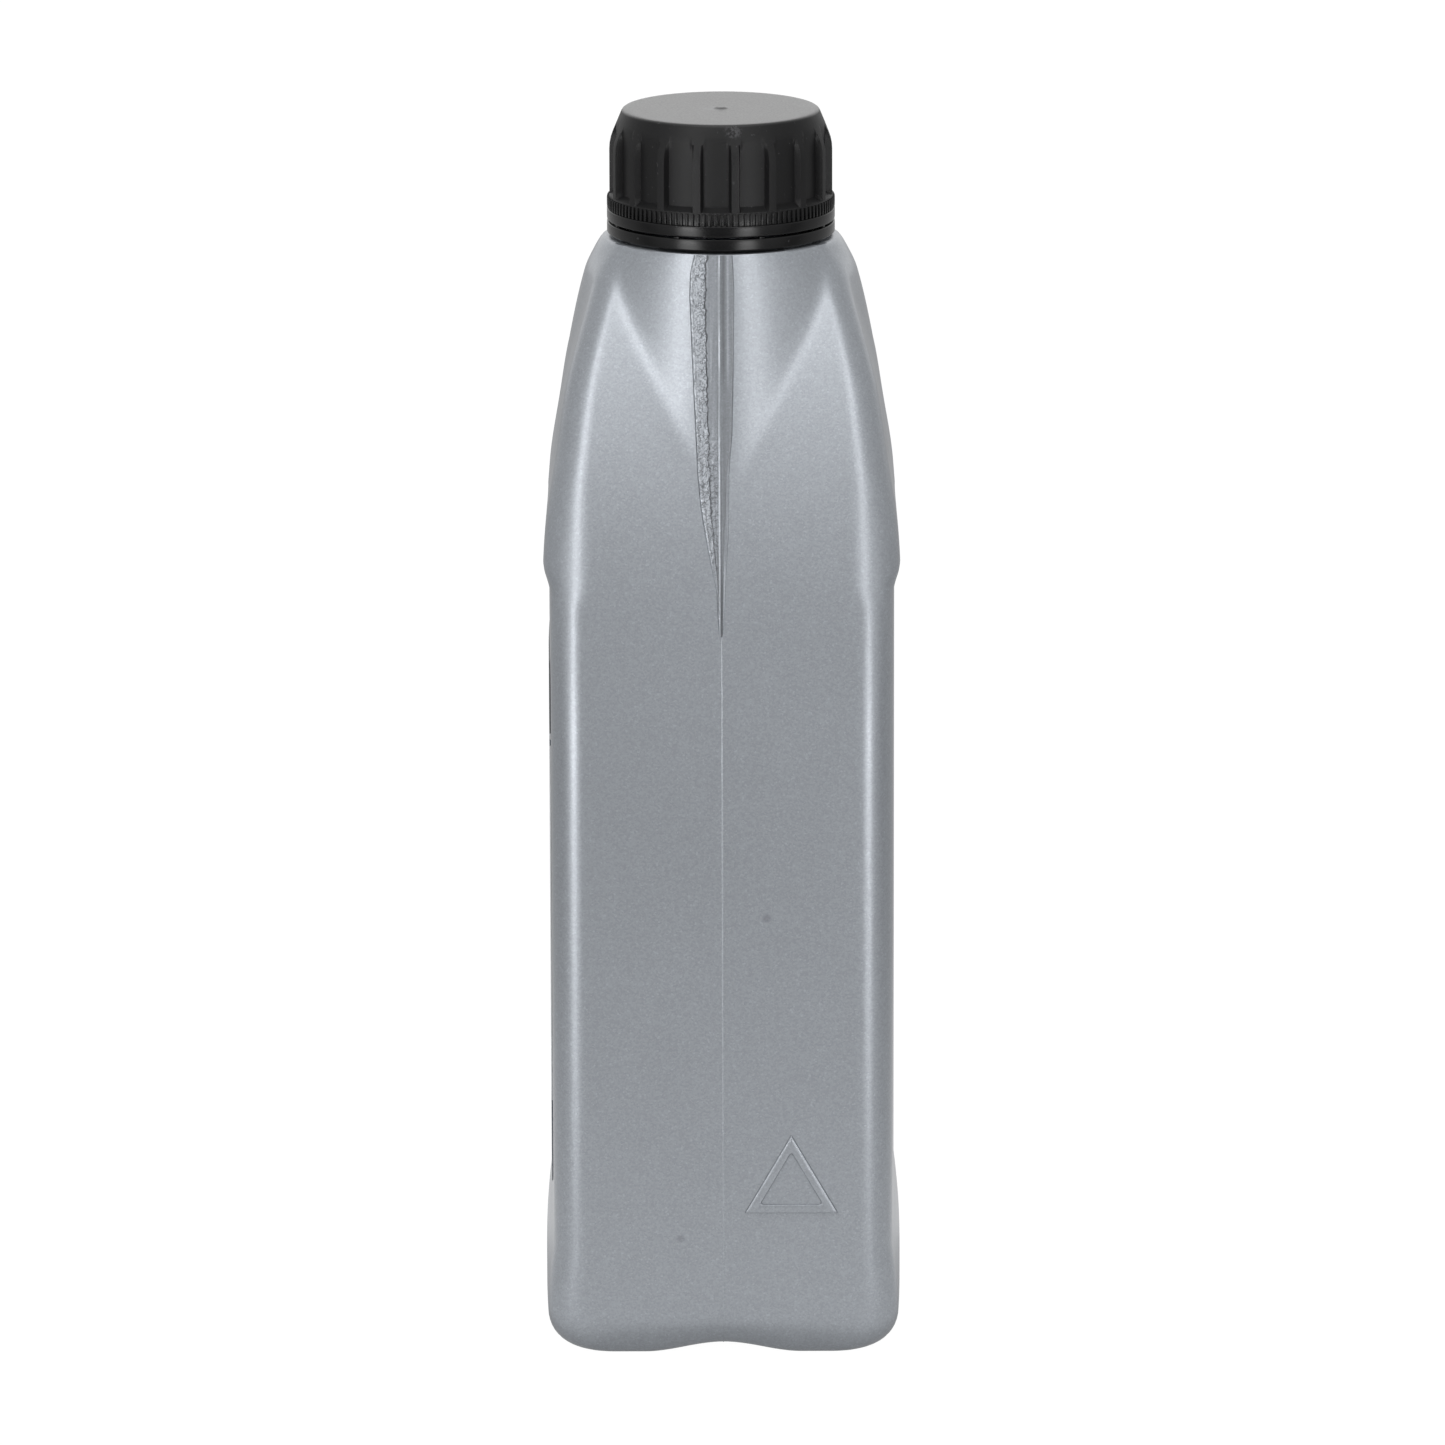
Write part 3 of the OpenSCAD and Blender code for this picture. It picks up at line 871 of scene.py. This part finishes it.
def bead(path, width, height):
    """A low round bead along a path in the plane of the parting line, closed at its ends."""
    path = np.array(path)
    along = np.gradient(path, axis=0)
    along /= np.linalg.norm(along, axis=1, keepdims=True)
    across = np.array([1.0, 0.0, 0.0])
    out = np.cross(across, along)
    t = np.arange(SEAM_FACETS) / SEAM_FACETS * math.tau
    rings = [p + width / 2 * np.cos(t)[:, None] * across + height * np.sin(t)[:, None] * o
             for p, o in zip(path, out)]
    faces = ring_faces(len(rings), len(t))
    faces.append(tuple(range(len(t)))[::-1])
    first = (len(rings) - 1) * len(t)
    faces.append(tuple(range(first, first + len(t))))
    mesh = made("bead", np.concatenate(rings), faces)
    outward(mesh)
    return mesh


def outward(mesh):
    """Turns the faces of a closed mesh outwards."""
    work = bmesh.new()
    work.from_mesh(mesh)
    bmesh.ops.recalc_face_normals(work, faces=work.faces)
    work.to_mesh(mesh)
    work.free()


TRIANGLE_SIDE = 18 * MM
TRIANGLE_X = 13.1 * MM
TRIANGLE_FOOT = 28.7 * MM
TRIANGLE_BORDER = 1.75 * MM
TRIANGLE_HEIGHT = 0.42 * MM
TRIANGLE_SLOPE = 0.2 * MM
TRIANGLE_BEVEL = 0.85 * TRIANGLE_HEIGHT
TRIANGLE_SUNK = -0.3 * MM
# Rings over the triangle's frame: inset, corner radius, height, and painted shade at the frame's foot and
# bevels
TRIANGLE_RINGS = [
    (-TRIANGLE_SLOPE, 0.1 * MM, TRIANGLE_SUNK, 0.3),
    (0.0, 0.1 * MM, 0.0, 0.6),
    (TRIANGLE_SLOPE / 2, 0.15 * MM, TRIANGLE_BEVEL, 0.3),
    (TRIANGLE_SLOPE, 0.2 * MM, TRIANGLE_HEIGHT, 0.0),
    (TRIANGLE_BORDER - TRIANGLE_SLOPE, 0.4 * MM, TRIANGLE_HEIGHT, 0.0),
    (TRIANGLE_BORDER - TRIANGLE_SLOPE / 2, 0.5 * MM, TRIANGLE_BEVEL, 0.3),
    (TRIANGLE_BORDER, 0.55 * MM, 0.0, 0.6),
    (TRIANGLE_BORDER + TRIANGLE_SLOPE, 0.55 * MM, TRIANGLE_SUNK, 0.3),
]


def triangle_loop(inset, radius):
    """An equilateral triangle, drawn in by inset, with rounded corners, as x and z from its middle."""
    reach = TRIANGLE_SIDE / math.sqrt(3) - 2 * inset
    corners = [(reach * math.sin(k * math.tau / 3), reach * math.cos(k * math.tau / 3)) for k in range(3)]
    return rounded_outline(corners, radius, steps=5, closed=True)


def tactile_triangle():
    """The raised plain triangle on the front narrow face: a frame with sloped sides."""
    middle = TRIANGLE_FOOT + TRIANGLE_SIDE / math.sqrt(12)
    rings = []
    for inset, radius, height, _ in TRIANGLE_RINGS:
        loop = triangle_loop(inset, radius)
        rings.append(np.array([(TRIANGLE_X + p.x, -HALF_W - height, middle + p.y) for p in loop]))
    columns = len(rings[0])
    faces = ring_faces(len(rings), columns)
    last = (len(rings) - 1) * columns
    for j in range(columns):
        k = (j + 1) % columns
        faces.append((last + j, last + k, k, j))
    mesh = made("tactile_triangle", np.concatenate(rings), faces)
    outward(mesh)
    # The scar mark here is painted shade round the frame's foot and bevels
    dark = mesh.attributes.new("scar", "FLOAT", "POINT")
    dark.data.foreach_set("value", np.repeat([ring[3] for ring in TRIANGLE_RINGS], columns))
    return mesh


# Finishes


def new_finish(name):
    """A material, its tree as expressions, its main shader and the object's coordinates."""
    material = bpy.data.materials.new(name)
    material.use_nodes = True
    tree = Tree(material.node_tree)
    shader = material.node_tree.nodes["Principled BSDF"]
    spot = tree.add("ShaderNodeTexCoord", None, None, "Object")
    return material, tree, shader, spot


def speckle(tree, spot, scale, detail=2.0, roughness=0.5):
    """Noise of about one cell per 1 / scale metres, from 0 to 1."""
    return tree.add("ShaderNodeTexNoise", {"noise_dimensions": "3D"}, {
        "Vector": spot, "Scale": scale, "Detail": detail, "Roughness": roughness,
    })


def blend(tree, factor, first, second):
    """A colour between two, each written or wired."""
    return tree.add("ShaderNodeMix", {"data_type": "RGBA"}, {
        "Factor_Float": factor, "A_Color": first, "B_Color": second,
    }, "Result_Color")


def tinted(tree, colour, value):
    """A colour, made lighter or darker by a wired value."""
    shade = tree.add("ShaderNodeCombineColor", None, {"Red": value, "Green": value, "Blue": value})
    return tree.add("ShaderNodeMix", {"data_type": "RGBA", "blend_type": "MULTIPLY"}, {
        "Factor_Float": 1.0, "A_Color": colour, "B_Color": shade,
    }, "Result_Color")


def bumped(tree, height, distance):
    return tree.add("ShaderNodeBump", None, {
        "Height": height, "Distance": distance, "Strength": 1.0,
    }, "Normal")


def cell_pattern(tree, spot, scale, output):
    """Cells of about 1 / scale metres: their colours, or the distance to their middles."""
    return tree.add("ShaderNodeTexVoronoi", {"feature": "F1"}, {"Vector": spot, "Scale": scale}, output)


def attribute(tree, name):
    return tree.add("ShaderNodeAttribute", {"attribute_name": name}, None, "Fac")


def near(tree, spot, place, inner, outer):
    """1 within inner of a place, easing to 0 at outer."""
    gap = tree.add("ShaderNodeVectorMath", {"operation": "DISTANCE"}, {0: spot, 1: place}, "Value")
    return gap.ease(outer, inner)


def dress(tree, shader, values):
    for key, value in values.items():
        tree.feed(shader, key, value)


# Finishes, with the scales of their patterns in cells per metre
PEARL = (0.329, 0.350, 0.379, 1.0)
PEARL_BUMP = 0.012 * MM
FLAKE_SCALE = 3300.0
GRAIN_SCALE = 1400.0
WORM_SCALE = 1250.0
MOTTLE_SCALE = 260.0
CLOUD_SCALE = 28.0
WORM_WIDTH = 0.06
WORM_BUMP = 30
SCAR_SHADE = 0.62
WORM_SHADE = 0.6
SPECK_SHADE = 0.22
# Dark specks on the front: x, z and radius in mm
SPECKS = [(8.4, 87, 0.75), (-8.2, 23.6, 0.7), (-29.2, 38.5, 0.6)]


def pearl_plastic():
    """Silver-grey blown plastic with mica: fine bright grain over a soft mottle, and a few dark specks."""
    material, tree, shader, spot = new_finish("pearl_plastic")
    cells = cell_pattern(tree, spot, FLAKE_SCALE, "Color")
    flake = tree.add("ShaderNodeSeparateColor", None, {"Color": cells}, "Red")
    mottle = speckle(tree, spot, MOTTLE_SCALE, 4.0)
    cloud = speckle(tree, spot, CLOUD_SCALE, 3.0)
    value = 0.884 + 0.17 * flake + 0.1 * flake.ease(0.95, 1.0) + 0.06 * mottle + 0.04 * cloud
    # The scar mark: the scar's duller tone with painted shade and highlights along its relief, and painted
    # shade round the triangle's frame
    scar = attribute(tree, "scar")
    crinkle = attribute(tree, "crinkle")
    # Painted shade in the valleys of the scar's crinkles
    worm = speckle(tree, spot, WORM_SCALE, 1.5)
    wrinkle = crinkle * abs(worm - 0.5).ease(WORM_WIDTH, 0.0)
    value = value * (1 - SCAR_SHADE * scar) * (1 - WORM_SHADE * wrinkle)
    for x, z, radius in SPECKS:
        dot = near(tree, spot, (x * MM, -HALF_W, z * MM), radius * MM * 0.5, radius * MM * 1.5)
        value = value * (1 - SPECK_SHADE * dot)
    grain = speckle(tree, spot, GRAIN_SCALE, 3.0, 0.6)
    dress(tree, shader, {
        "Base Color": tinted(tree, PEARL, value),
        "Metallic": 0.55,
        "Roughness": 0.3 + 0.08 * grain + 0.03 * cloud + 0.12 * scar,
        "Specular IOR Level": 0.5,
        "Coat Weight": 0.25,
        "Coat Roughness": 0.2,
        "Normal": bumped(tree, grain + 0.3 * flake + WORM_BUMP * crinkle * worm, PEARL_BUMP),
    })
    return material


BLACK = (0.006, 0.006, 0.0064, 1.0)
WORN_BLACK = (0.11, 0.11, 0.115, 1.0)
BLACK_BUMP = 0.018 * MM
BLACK_GRAIN_SCALE = 2600.0
BLACK_MOTTLE_SCALE = 190.0
DUST_SCALE = 1100.0
SCUFF_SCALE = 1500.0
CROWN_FADE = 0.5 * MM
# Worn marks on the cap: middle, core and reach
SCUFF = (Vector((2.4, -19.2, 234.2)) * MM, 0.6 * MM, 2.2 * MM)
SMEAR = (Vector((-1.6, -1.2, 235.3)) * MM, 0.5 * MM, 3.4 * MM)


def black_plastic():
    """Black moulded plastic: satin, glossier on the bands at its foot, with dust, a scuff and a smear."""
    material, tree, shader, spot = new_finish("black_plastic")
    _, _, height = tree.split(spot)
    grain = speckle(tree, spot, BLACK_GRAIN_SCALE, 3.0, 0.6)
    mottle = speckle(tree, spot, BLACK_MOTTLE_SCALE, 4.0, 0.6)
    satin = height.ease(cap_low.z + PLAIN_BAND, cap_low.z + PLAIN_BAND + KNURL_HEIGHT)
    dust = speckle(tree, spot, DUST_SCALE, 1.0).ease(0.73, 0.8)
    scuff = near(tree, spot, *SCUFF) * speckle(tree, spot, SCUFF_SCALE, 3.0, 0.7).ease(0.45, 0.6)
    smear = near(tree, spot, *SMEAR) * mottle.ease(0.35, 0.65)
    crown = height.ease(cap_high.z - GATE_HEIGHT - CROWN_FADE, cap_high.z - GATE_HEIGHT)
    wear = (0.5 * scuff).most(smear).most(0.28 * dust)
    dress(tree, shader, {
        "Base Color": blend(tree, wear, BLACK, WORN_BLACK),
        "Roughness": 0.17 + 0.28 * satin + 0.06 * mottle + 0.14 * wear,
        "Specular IOR Level": 0.26,
        "Coat Weight": crown * (0.5 + 0.75 * grain),
        "Coat Roughness": 0.3,
        "Normal": bumped(tree, grain * (0.3 + 0.7 * satin) + 1.5 * scuff, BLACK_BUMP),
    })
    return material


FOAM = (0.82, 0.82, 0.79, 1.0)
FOAM_BUMP = 0.03 * MM
FOAM_PORE_SCALE = 2600.0
FOAM_TONE_SCALE = 500.0


def liner_foam():
    """White foam of the sealing disc, with fine pores."""
    material, tree, shader, spot = new_finish("liner_foam")
    tone = speckle(tree, spot, FOAM_TONE_SCALE)
    dress(tree, shader, {
        "Base Color": tinted(tree, FOAM, 0.9 + 0.1 * tone),
        "Roughness": 0.72 + 0.1 * tone,
        "Normal": bumped(tree, cell_pattern(tree, spot, FOAM_PORE_SCALE, "Distance"), FOAM_BUMP),
    })
    return material


LABEL_BAND = 13.4 * MM
LABEL_LINE = 1.2 * MM
LABEL_FOOT = 17 * MM
LABEL_EDGE = 0.05 * MM
LABEL_BUMP = 0.02 * MM
LABEL_GRAIN_SCALE = 1700.0
LABEL_SHEEN_SCALE = 40.0
LABEL_PALE = (0.7, 0.71, 0.72, 1.0)
LABEL_GREY = (0.56, 0.58, 0.6, 1.0)
LABEL_SLATE = (0.09, 0.105, 0.13, 1.0)
LABEL_DARK = (0.03, 0.034, 0.042, 1.0)


def label_film():
    """Satin film in plain fields of colour: a dark head band, a fine line, a pale field and a slate foot."""
    material, tree, shader, spot = new_finish("label_film")
    _, _, height = tree.split(spot)
    head_low = label_high.z - LABEL_BAND
    line_low = head_low - 2 * LABEL_LINE
    line_high = line_low + LABEL_LINE
    foot_high = label_low.z + LABEL_FOOT
    head = height.ease(head_low - LABEL_EDGE, head_low + LABEL_EDGE)
    stripe = height.ease(line_low - LABEL_EDGE, line_low + LABEL_EDGE)
    stripe = stripe * height.ease(line_high + LABEL_EDGE, line_high - LABEL_EDGE)
    foot = height.ease(foot_high + LABEL_EDGE, foot_high - LABEL_EDGE)
    grain = speckle(tree, spot, LABEL_GRAIN_SCALE)
    sheen = speckle(tree, spot, LABEL_SHEEN_SCALE)
    colour = blend(tree, height.ease(label_low.z, label_high.z), LABEL_GREY, LABEL_PALE)
    for field, ink in ((foot, LABEL_SLATE), (stripe, LABEL_SLATE), (head, LABEL_DARK)):
        colour = blend(tree, field, colour, ink)
    dress(tree, shader, {
        "Base Color": tinted(tree, colour, 0.96 + 0.06 * grain),
        "Roughness": 0.3 + 0.08 * sheen,
        "Coat Weight": 0.15,
        "Normal": bumped(tree, sheen + 0.1 * grain, LABEL_BUMP),
    })
    return material


# Pieces


def turned_values(material, segments, turn=0.0, flute_radius=NO_FLUTES, flute_foot=0.0):
    return {"Segments": segments, "Turn": turn, "Ribs": float(RIB_COUNT), "Flute Share": FLUTE_SHARE,
            "Flute Radius": flute_radius, "Flute Foot": flute_foot, "Flute Edge": FLUTE_EDGE,
            "Material": material}


def thread_values(material, radius, foot):
    return {"Radius": radius, "Pitch": THREAD_PITCH, "Turns": THREAD_TURNS, "Foot": foot,
            "Depth": THREAD_DEPTH, "Material": material}


def bottle_piece(material, thread):
    weld = [(0.0, y, GROOVE_HEIGHT) for y in np.linspace(-HALF_W + BASE_R, HALF_W - BASE_R, WELD_ROWS)]
    meshes = [
        blown_shell(), pinch_scar(-1, SCAR_FINE), pinch_scar(1, SCAR_COARSE), tactile_triangle(),
        bead(seam_path(-1), SEAM_WIDTH, SEAM_HEIGHT), bead(seam_path(1), SEAM_WIDTH, SEAM_HEIGHT),
        bead(weld, WELD_WIDTH, WELD_HEIGHT),
        grown(thread, thread_values(material, NECK_R, SHOULDER_TOP + THREAD_RISE)),
    ]
    for mesh in meshes:
        for label in ("scar", "crinkle"):
            if label not in mesh.attributes:
                mesh.attributes.new(label, "FLOAT", "POINT")
    item = piece("bottle_shell", meshes, material, SHELL_SHARP)
    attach(item, "body")
    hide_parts("bottle")


def cap_piece(material, turned, bars, thread):
    base = cap_low.z
    top = cap_high.z - GATE_HEIGHT
    knurl_foot = base + PLAIN_BAND
    grip_foot = knurl_foot + KNURL_HEIGHT
    grip_r = BAND_R - GRIP_STEP
    root_r = BAND_R - KNURL_DEPTH
    cap_bore = NECK_R + THREAD_GAP
    skirt_bore = BAND_R - RING_WALL
    roof = top - CAP_ROOF
    outline = rounded_outline([
        (skirt_bore, base), (BAND_R, base), (BAND_R, knurl_foot), (root_r, knurl_foot + KNURL_SLOPE),
        (root_r, grip_foot), (grip_r, grip_foot + GRIP_SLOPE), (grip_r, top - CAP_CONE_HEIGHT, CONE_BLEND),
        (grip_r - CAP_CONE_RUN, top, TOP_EDGE), (GATE_R * 2, top), (GATE_R, top + GATE_HEIGHT),
        (0.0, top + GATE_HEIGHT),
    ], CAP_ROUNDING, steps=3, longest=CAP_FACET)
    inside = rounded_outline([
        (0.0, roof), (cap_bore, roof), (cap_bore, grip_foot), (skirt_bore, grip_foot - RING_WALL / 2),
        (skirt_bore, base),
    ], CAP_ROUNDING, steps=2, longest=CAP_INNER_FACET)
    wall = grown(turned, turned_values(
        material, CAP_SEGMENTS, CAP_TURN, grip_r - FLUTE_DEPTH, grip_foot + FLUTE_LIFT), outline + inside)
    knurls = grown(bars, {
        "Count": KNURL_COUNT, "Radius": root_r, "Turn": CAP_TURN, "Foot": knurl_foot + KNURL_LIFT,
        "Width": KNURL_WIDTH, "Depth": 2 * KNURL_DEPTH, "Height": KNURL_HEIGHT, "Material": material,
    })
    thread_foot = SHOULDER_TOP + THREAD_RISE + THREAD_PITCH / 2
    screw = grown(thread, thread_values(material, cap_bore, thread_foot))
    item = piece("ribbed_cap", [wall, knurls, screw], material, CAP_SHARP)
    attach(item, "cap")
    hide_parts("screw_cap")


def ring_piece(material, turned, bars):
    base = ring_low.z
    top = base + RING_HEIGHT
    bore = BAND_R - RING_WALL
    lip = NECK_R + LIP_GAP
    outline = rounded_outline([
        (lip, base), (BAND_R - RING_BEVEL, base), (BAND_R, base + RING_BEVEL), (BAND_R, top), (bore, top),
        (bore, base + RING_LIP_HEIGHT), (lip, base + RING_LIP_HEIGHT), (lip, base),
    ], RING_ROUNDING, steps=3)
    wall = grown(turned, turned_values(material, RING_SEGMENTS), outline)
    bridges = grown(bars, {
        "Count": BRIDGE_COUNT, "Radius": BAND_R - BRIDGE_INSET, "Turn": BRIDGE_TURN, "Foot": top - SLIT,
        "Width": BRIDGE_WIDTH, "Depth": BRIDGE_DEPTH, "Height": ring_high.z - top + SLIT,
        "Material": material,
    })
    item = piece("tear_ring", [wall, bridges], material, CAP_SHARP)
    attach(item, "body")
    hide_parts("tamper_ring")


def liner_piece(material, turned):
    dent = liner_low.z + LINER_DENT
    bore = NECK_R - NECK_WALL
    outline = rounded_outline([
        (0.0, dent), (bore - LINER_SLOPE, dent), (bore, liner_low.z), (liner_high.x, liner_low.z),
        (liner_high.x, liner_high.z), (0.0, liner_high.z),
    ], LINER_ROUNDING, steps=3)
    item = piece("foam_liner", [grown(turned, turned_values(material, LINER_SEGMENTS), outline)], material)
    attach(item, "liner")
    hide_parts("cap_liner")


LABEL_CORNER = 4 * MM
LABEL_COLUMNS = 72
LABEL_ROWS = 13
LABEL_THICKNESS = 0.15 * MM
LABEL_GAP = 0.05 * MM


def label_piece(material):
    """Film with rounded corners that follows the bulge of its panel."""
    half = label_high.y
    t = np.linspace(-math.pi / 2, math.pi / 2, LABEL_COLUMNS)
    y = half * np.sin(t)
    over = np.maximum(0.0, np.abs(y) - (half - LABEL_CORNER))
    drop = LABEL_CORNER - np.sqrt(np.maximum(0.0, LABEL_CORNER**2 - over**2))
    x = -HALF_D - PANEL_BULGE * arch(y) - LABEL_GAP
    height = label_high.z - label_low.z - 2 * drop
    front = [np.stack([x - LABEL_THICKNESS, y, label_low.z + drop + height * share], 1)
             for share in np.linspace(0, 1, LABEL_ROWS)]
    back = [row + np.array([LABEL_THICKNESS, 0.0, 0.0]) for row in front[::-1]]
    rings = np.stack(front + back)
    count = len(rings)
    faces = []
    for i in range(count):
        k = (i + 1) % count
        for j in range(LABEL_COLUMNS - 1):
            a = i * LABEL_COLUMNS + j
            b = k * LABEL_COLUMNS + j
            faces.append((a, a + 1, b + 1, b))
    ends = [[i * LABEL_COLUMNS + j for i in range(count)] for j in (0, LABEL_COLUMNS - 1)]
    faces.append(tuple(ends[0]))
    faces.append(tuple(ends[1][::-1]))
    mesh = made("label", rings.reshape(-1, 3), faces)
    outward(mesh)
    item = piece("panel_label", [mesh], material)
    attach(item, "body")
    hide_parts("front_label")


# Stage, light and camera


FLOOR_HALF = 14.0
FLOOR_GREY = (0.62, 0.62, 0.62, 1.0)
FLOOR_LIFT = 0.88
WHITE = (1.0, 1.0, 1.0, 1.0)
# Glow of the floor for the camera and in reflections, and the distances over which it comes and goes
FLOOR_WHITE = 1.12
FLOOR_DIM = 0.15
FLOOR_FAR = 0.13
FLOOR_NEAR = 0.82
FLOOR_SHADE = 0.5
FLOOR_BEHIND = 0.55
FAR_SPAN = (0.6, 1.6)
NEAR_SPAN = (0.55, 0.06)
SHADE_SPAN = (0.068, 0.052)
BEHIND_SPAN = (-0.5, 0.2)
POOL_SPAN = (0.05, 0.75)
LEAST_ALONG = 0.01
LEFT_AZIMUTH = -32
RIGHT_AZIMUTH = 26
# Pools of light on the floor: azimuth, glow, and reach to each side as a share of the distance
POOLS = [(LEFT_AZIMUTH, 5.6, 0.28), (RIGHT_AZIMUTH, 5.6, 0.24), (-50, 0.4, 0.6), (46, 0.4, 0.6)]


def floor_finish():
    """Pale floor that keeps the shadow: white for the camera, with a pool below each lamp in reflections."""
    material = bpy.data.materials.new("pale_floor")
    material.use_nodes = True
    tree = Tree(material.node_tree)
    for node in list(material.node_tree.nodes):
        material.node_tree.nodes.remove(node)
    path = tree.add("ShaderNodeLightPath", None, None, "Is Camera Ray")
    seen = path.most(path.out("Is Glossy Ray")).most(path.out("Is Transmission Ray"))
    x, y, _ = tree.split(tree.add("ShaderNodeTexCoord", None, None, "Object"))
    reach = x.calc("SQRT", x * x + y * y)
    mirrored = FLOOR_DIM + FLOOR_FAR * reach.ease(*FAR_SPAN) + FLOOR_NEAR * reach.ease(*NEAR_SPAN)
    # Painted shadow of the bottle: the floor's glow in reflections is dimmed close to it
    mirrored = mirrored * (1 - FLOOR_SHADE * reach.ease(*SHADE_SPAN))
    mirrored = mirrored.most(FLOOR_BEHIND * y.ease(*BEHIND_SPAN))
    for azimuth, glow, spread in POOLS:
        a = math.radians(azimuth)
        along = x * math.sin(a) - y * math.cos(a)
        across = abs(x * math.cos(a) + y * math.sin(a)) / along.most(LEAST_ALONG)
        mirrored = mirrored + glow * across.ease(spread, spread / 4) * along.ease(*POOL_SPAN)
    shine = mirrored + path * (FLOOR_WHITE - mirrored)
    plain = tree.add("ShaderNodeBsdfDiffuse", None, {"Color": FLOOR_GREY})
    white = tree.add("ShaderNodeEmission", None, {"Color": WHITE, "Strength": shine})
    mixed = tree.add("ShaderNodeMixShader", None, {0: seen * FLOOR_LIFT, 1: plain, 2: white})
    tree.add("ShaderNodeOutputMaterial", None, {"Surface": mixed})
    return material


def stage_floor():
    corners = [(FLOOR_HALF * i, FLOOR_HALF * j, 0) for i, j in ((-1, -1), (1, -1), (1, 1), (-1, 1))]
    floor = piece("floor", [made("floor", corners, [(0, 1, 2, 3)])], floor_finish())


AMBIENT = 0.38
MIRRORED_FRONT = 0.26
MIRRORED_SIDE = 0.36
MIRRORED_FLANK = 0.3
MIRRORED_BACK = 0.5
SIDE_SPAN = (-0.95, -0.5)
BACK_SPAN = (0.5, 0.9)
FLANK_RISE = (-0.93, -0.8)
FLANK_FALL = (-0.3, -0.6)


def studio_world():
    """Dim all round for the light on the object, white for the camera, and white behind in reflections."""
    world = bpy.data.worlds.new("studio")
    world.use_nodes = True
    bpy.context.scene.world = world
    tree = Tree(world.node_tree)
    backdrop = world.node_tree.nodes["Background"]
    path = tree.add("ShaderNodeLightPath", None, None, "Is Camera Ray")
    heading = tree.add("ShaderNodeTexCoord", None, None, "Generated")
    _, behind, _ = tree.split(heading)
    mirrored = path.out("Is Glossy Ray").most(path.out("Is Transmission Ray"))
    seen = MIRRORED_FRONT + MIRRORED_SIDE * behind.ease(*SIDE_SPAN) + MIRRORED_BACK * behind.ease(*BACK_SPAN)
    seen = seen + MIRRORED_FLANK * behind.ease(*FLANK_RISE) * behind.ease(*FLANK_FALL)
    lit = AMBIENT + mirrored * (seen - AMBIENT)
    dress(tree, backdrop, {"Color": WHITE, "Strength": lit + path * (1 - lit)})


AIM = Vector((0.0, 0.0, 0.115))
# Softboxes: name, azimuth and elevation in degrees, distance, width, height and watts
SOFTBOXES = [
    ("left_strip", LEFT_AZIMUTH, 26, 1.7, 0.44, 2.0, 10),
    ("right_strip", RIGHT_AZIMUTH, 26, 1.7, 0.4, 2.0, 7),
    ("overhead", 0, 72, 1.6, 1.4, 1.0, 6),
]


def softbox(name, azimuth, elevation, distance, width, height, watts):
    """An area lamp that faces the bottle. Azimuth is from the camera's side, to the right."""
    a = math.radians(azimuth)
    e = math.radians(elevation)
    away = Vector((math.sin(a) * math.cos(e), -math.cos(a) * math.cos(e), math.sin(e)))
    lamp = bpy.data.lights.new(name, "AREA")
    lamp.shape = "RECTANGLE"
    lamp.size = width
    lamp.size_y = height
    lamp.energy = watts
    item = bpy.data.objects.new(name, lamp)
    item.location = AIM + away * distance
    item.rotation_euler = away.to_track_quat("Z", "Y").to_euler()
    bpy.context.scene.collection.objects.link(item)


CAMERA_DISTANCE = 2.2
CAMERA_ELEVATION = math.radians(13.2)
CAMERA_AIM = Vector((0.08 * MM, 0.0, 114 * MM))
CAMERA_ROLL = math.radians(-0.135)
FOCAL_PIXELS = 11305
PHOTO_PIXELS = 1445
SENSOR_WIDTH = 36
CAMERA_REACH = 40


def photo_camera():
    data = bpy.data.cameras.new("photo_camera")
    data.sensor_width = SENSOR_WIDTH
    data.lens = FOCAL_PIXELS / PHOTO_PIXELS * SENSOR_WIDTH
    data.clip_end = CAMERA_REACH
    item = bpy.data.objects.new("photo_camera", data)
    back = Vector((0.0, -math.cos(CAMERA_ELEVATION), math.sin(CAMERA_ELEVATION)))
    turn = back.to_track_quat("Z", "Y").to_matrix() @ Matrix.Rotation(CAMERA_ROLL, 3, "Z")
    item.matrix_world = Matrix.Translation(CAMERA_AIM + back * CAMERA_DISTANCE) @ turn.to_4x4()
    bpy.context.scene.collection.objects.link(item)
    bpy.context.scene.camera = item


def build():
    bpy.context.scene.view_settings.view_transform = "Standard"
    photo_camera()
    stage_floor()
    studio_world()
    for values in SOFTBOXES:
        softbox(*values)
    pearl = pearl_plastic()
    black = black_plastic()
    turned = turned_tree()
    bars = bars_tree()
    thread = thread_tree()
    bottle_piece(pearl, thread)
    cap_piece(black, turned, bars, thread)
    ring_piece(black, turned, bars)
    liner_piece(liner_foam(), turned)
    label_piece(label_film())


build()
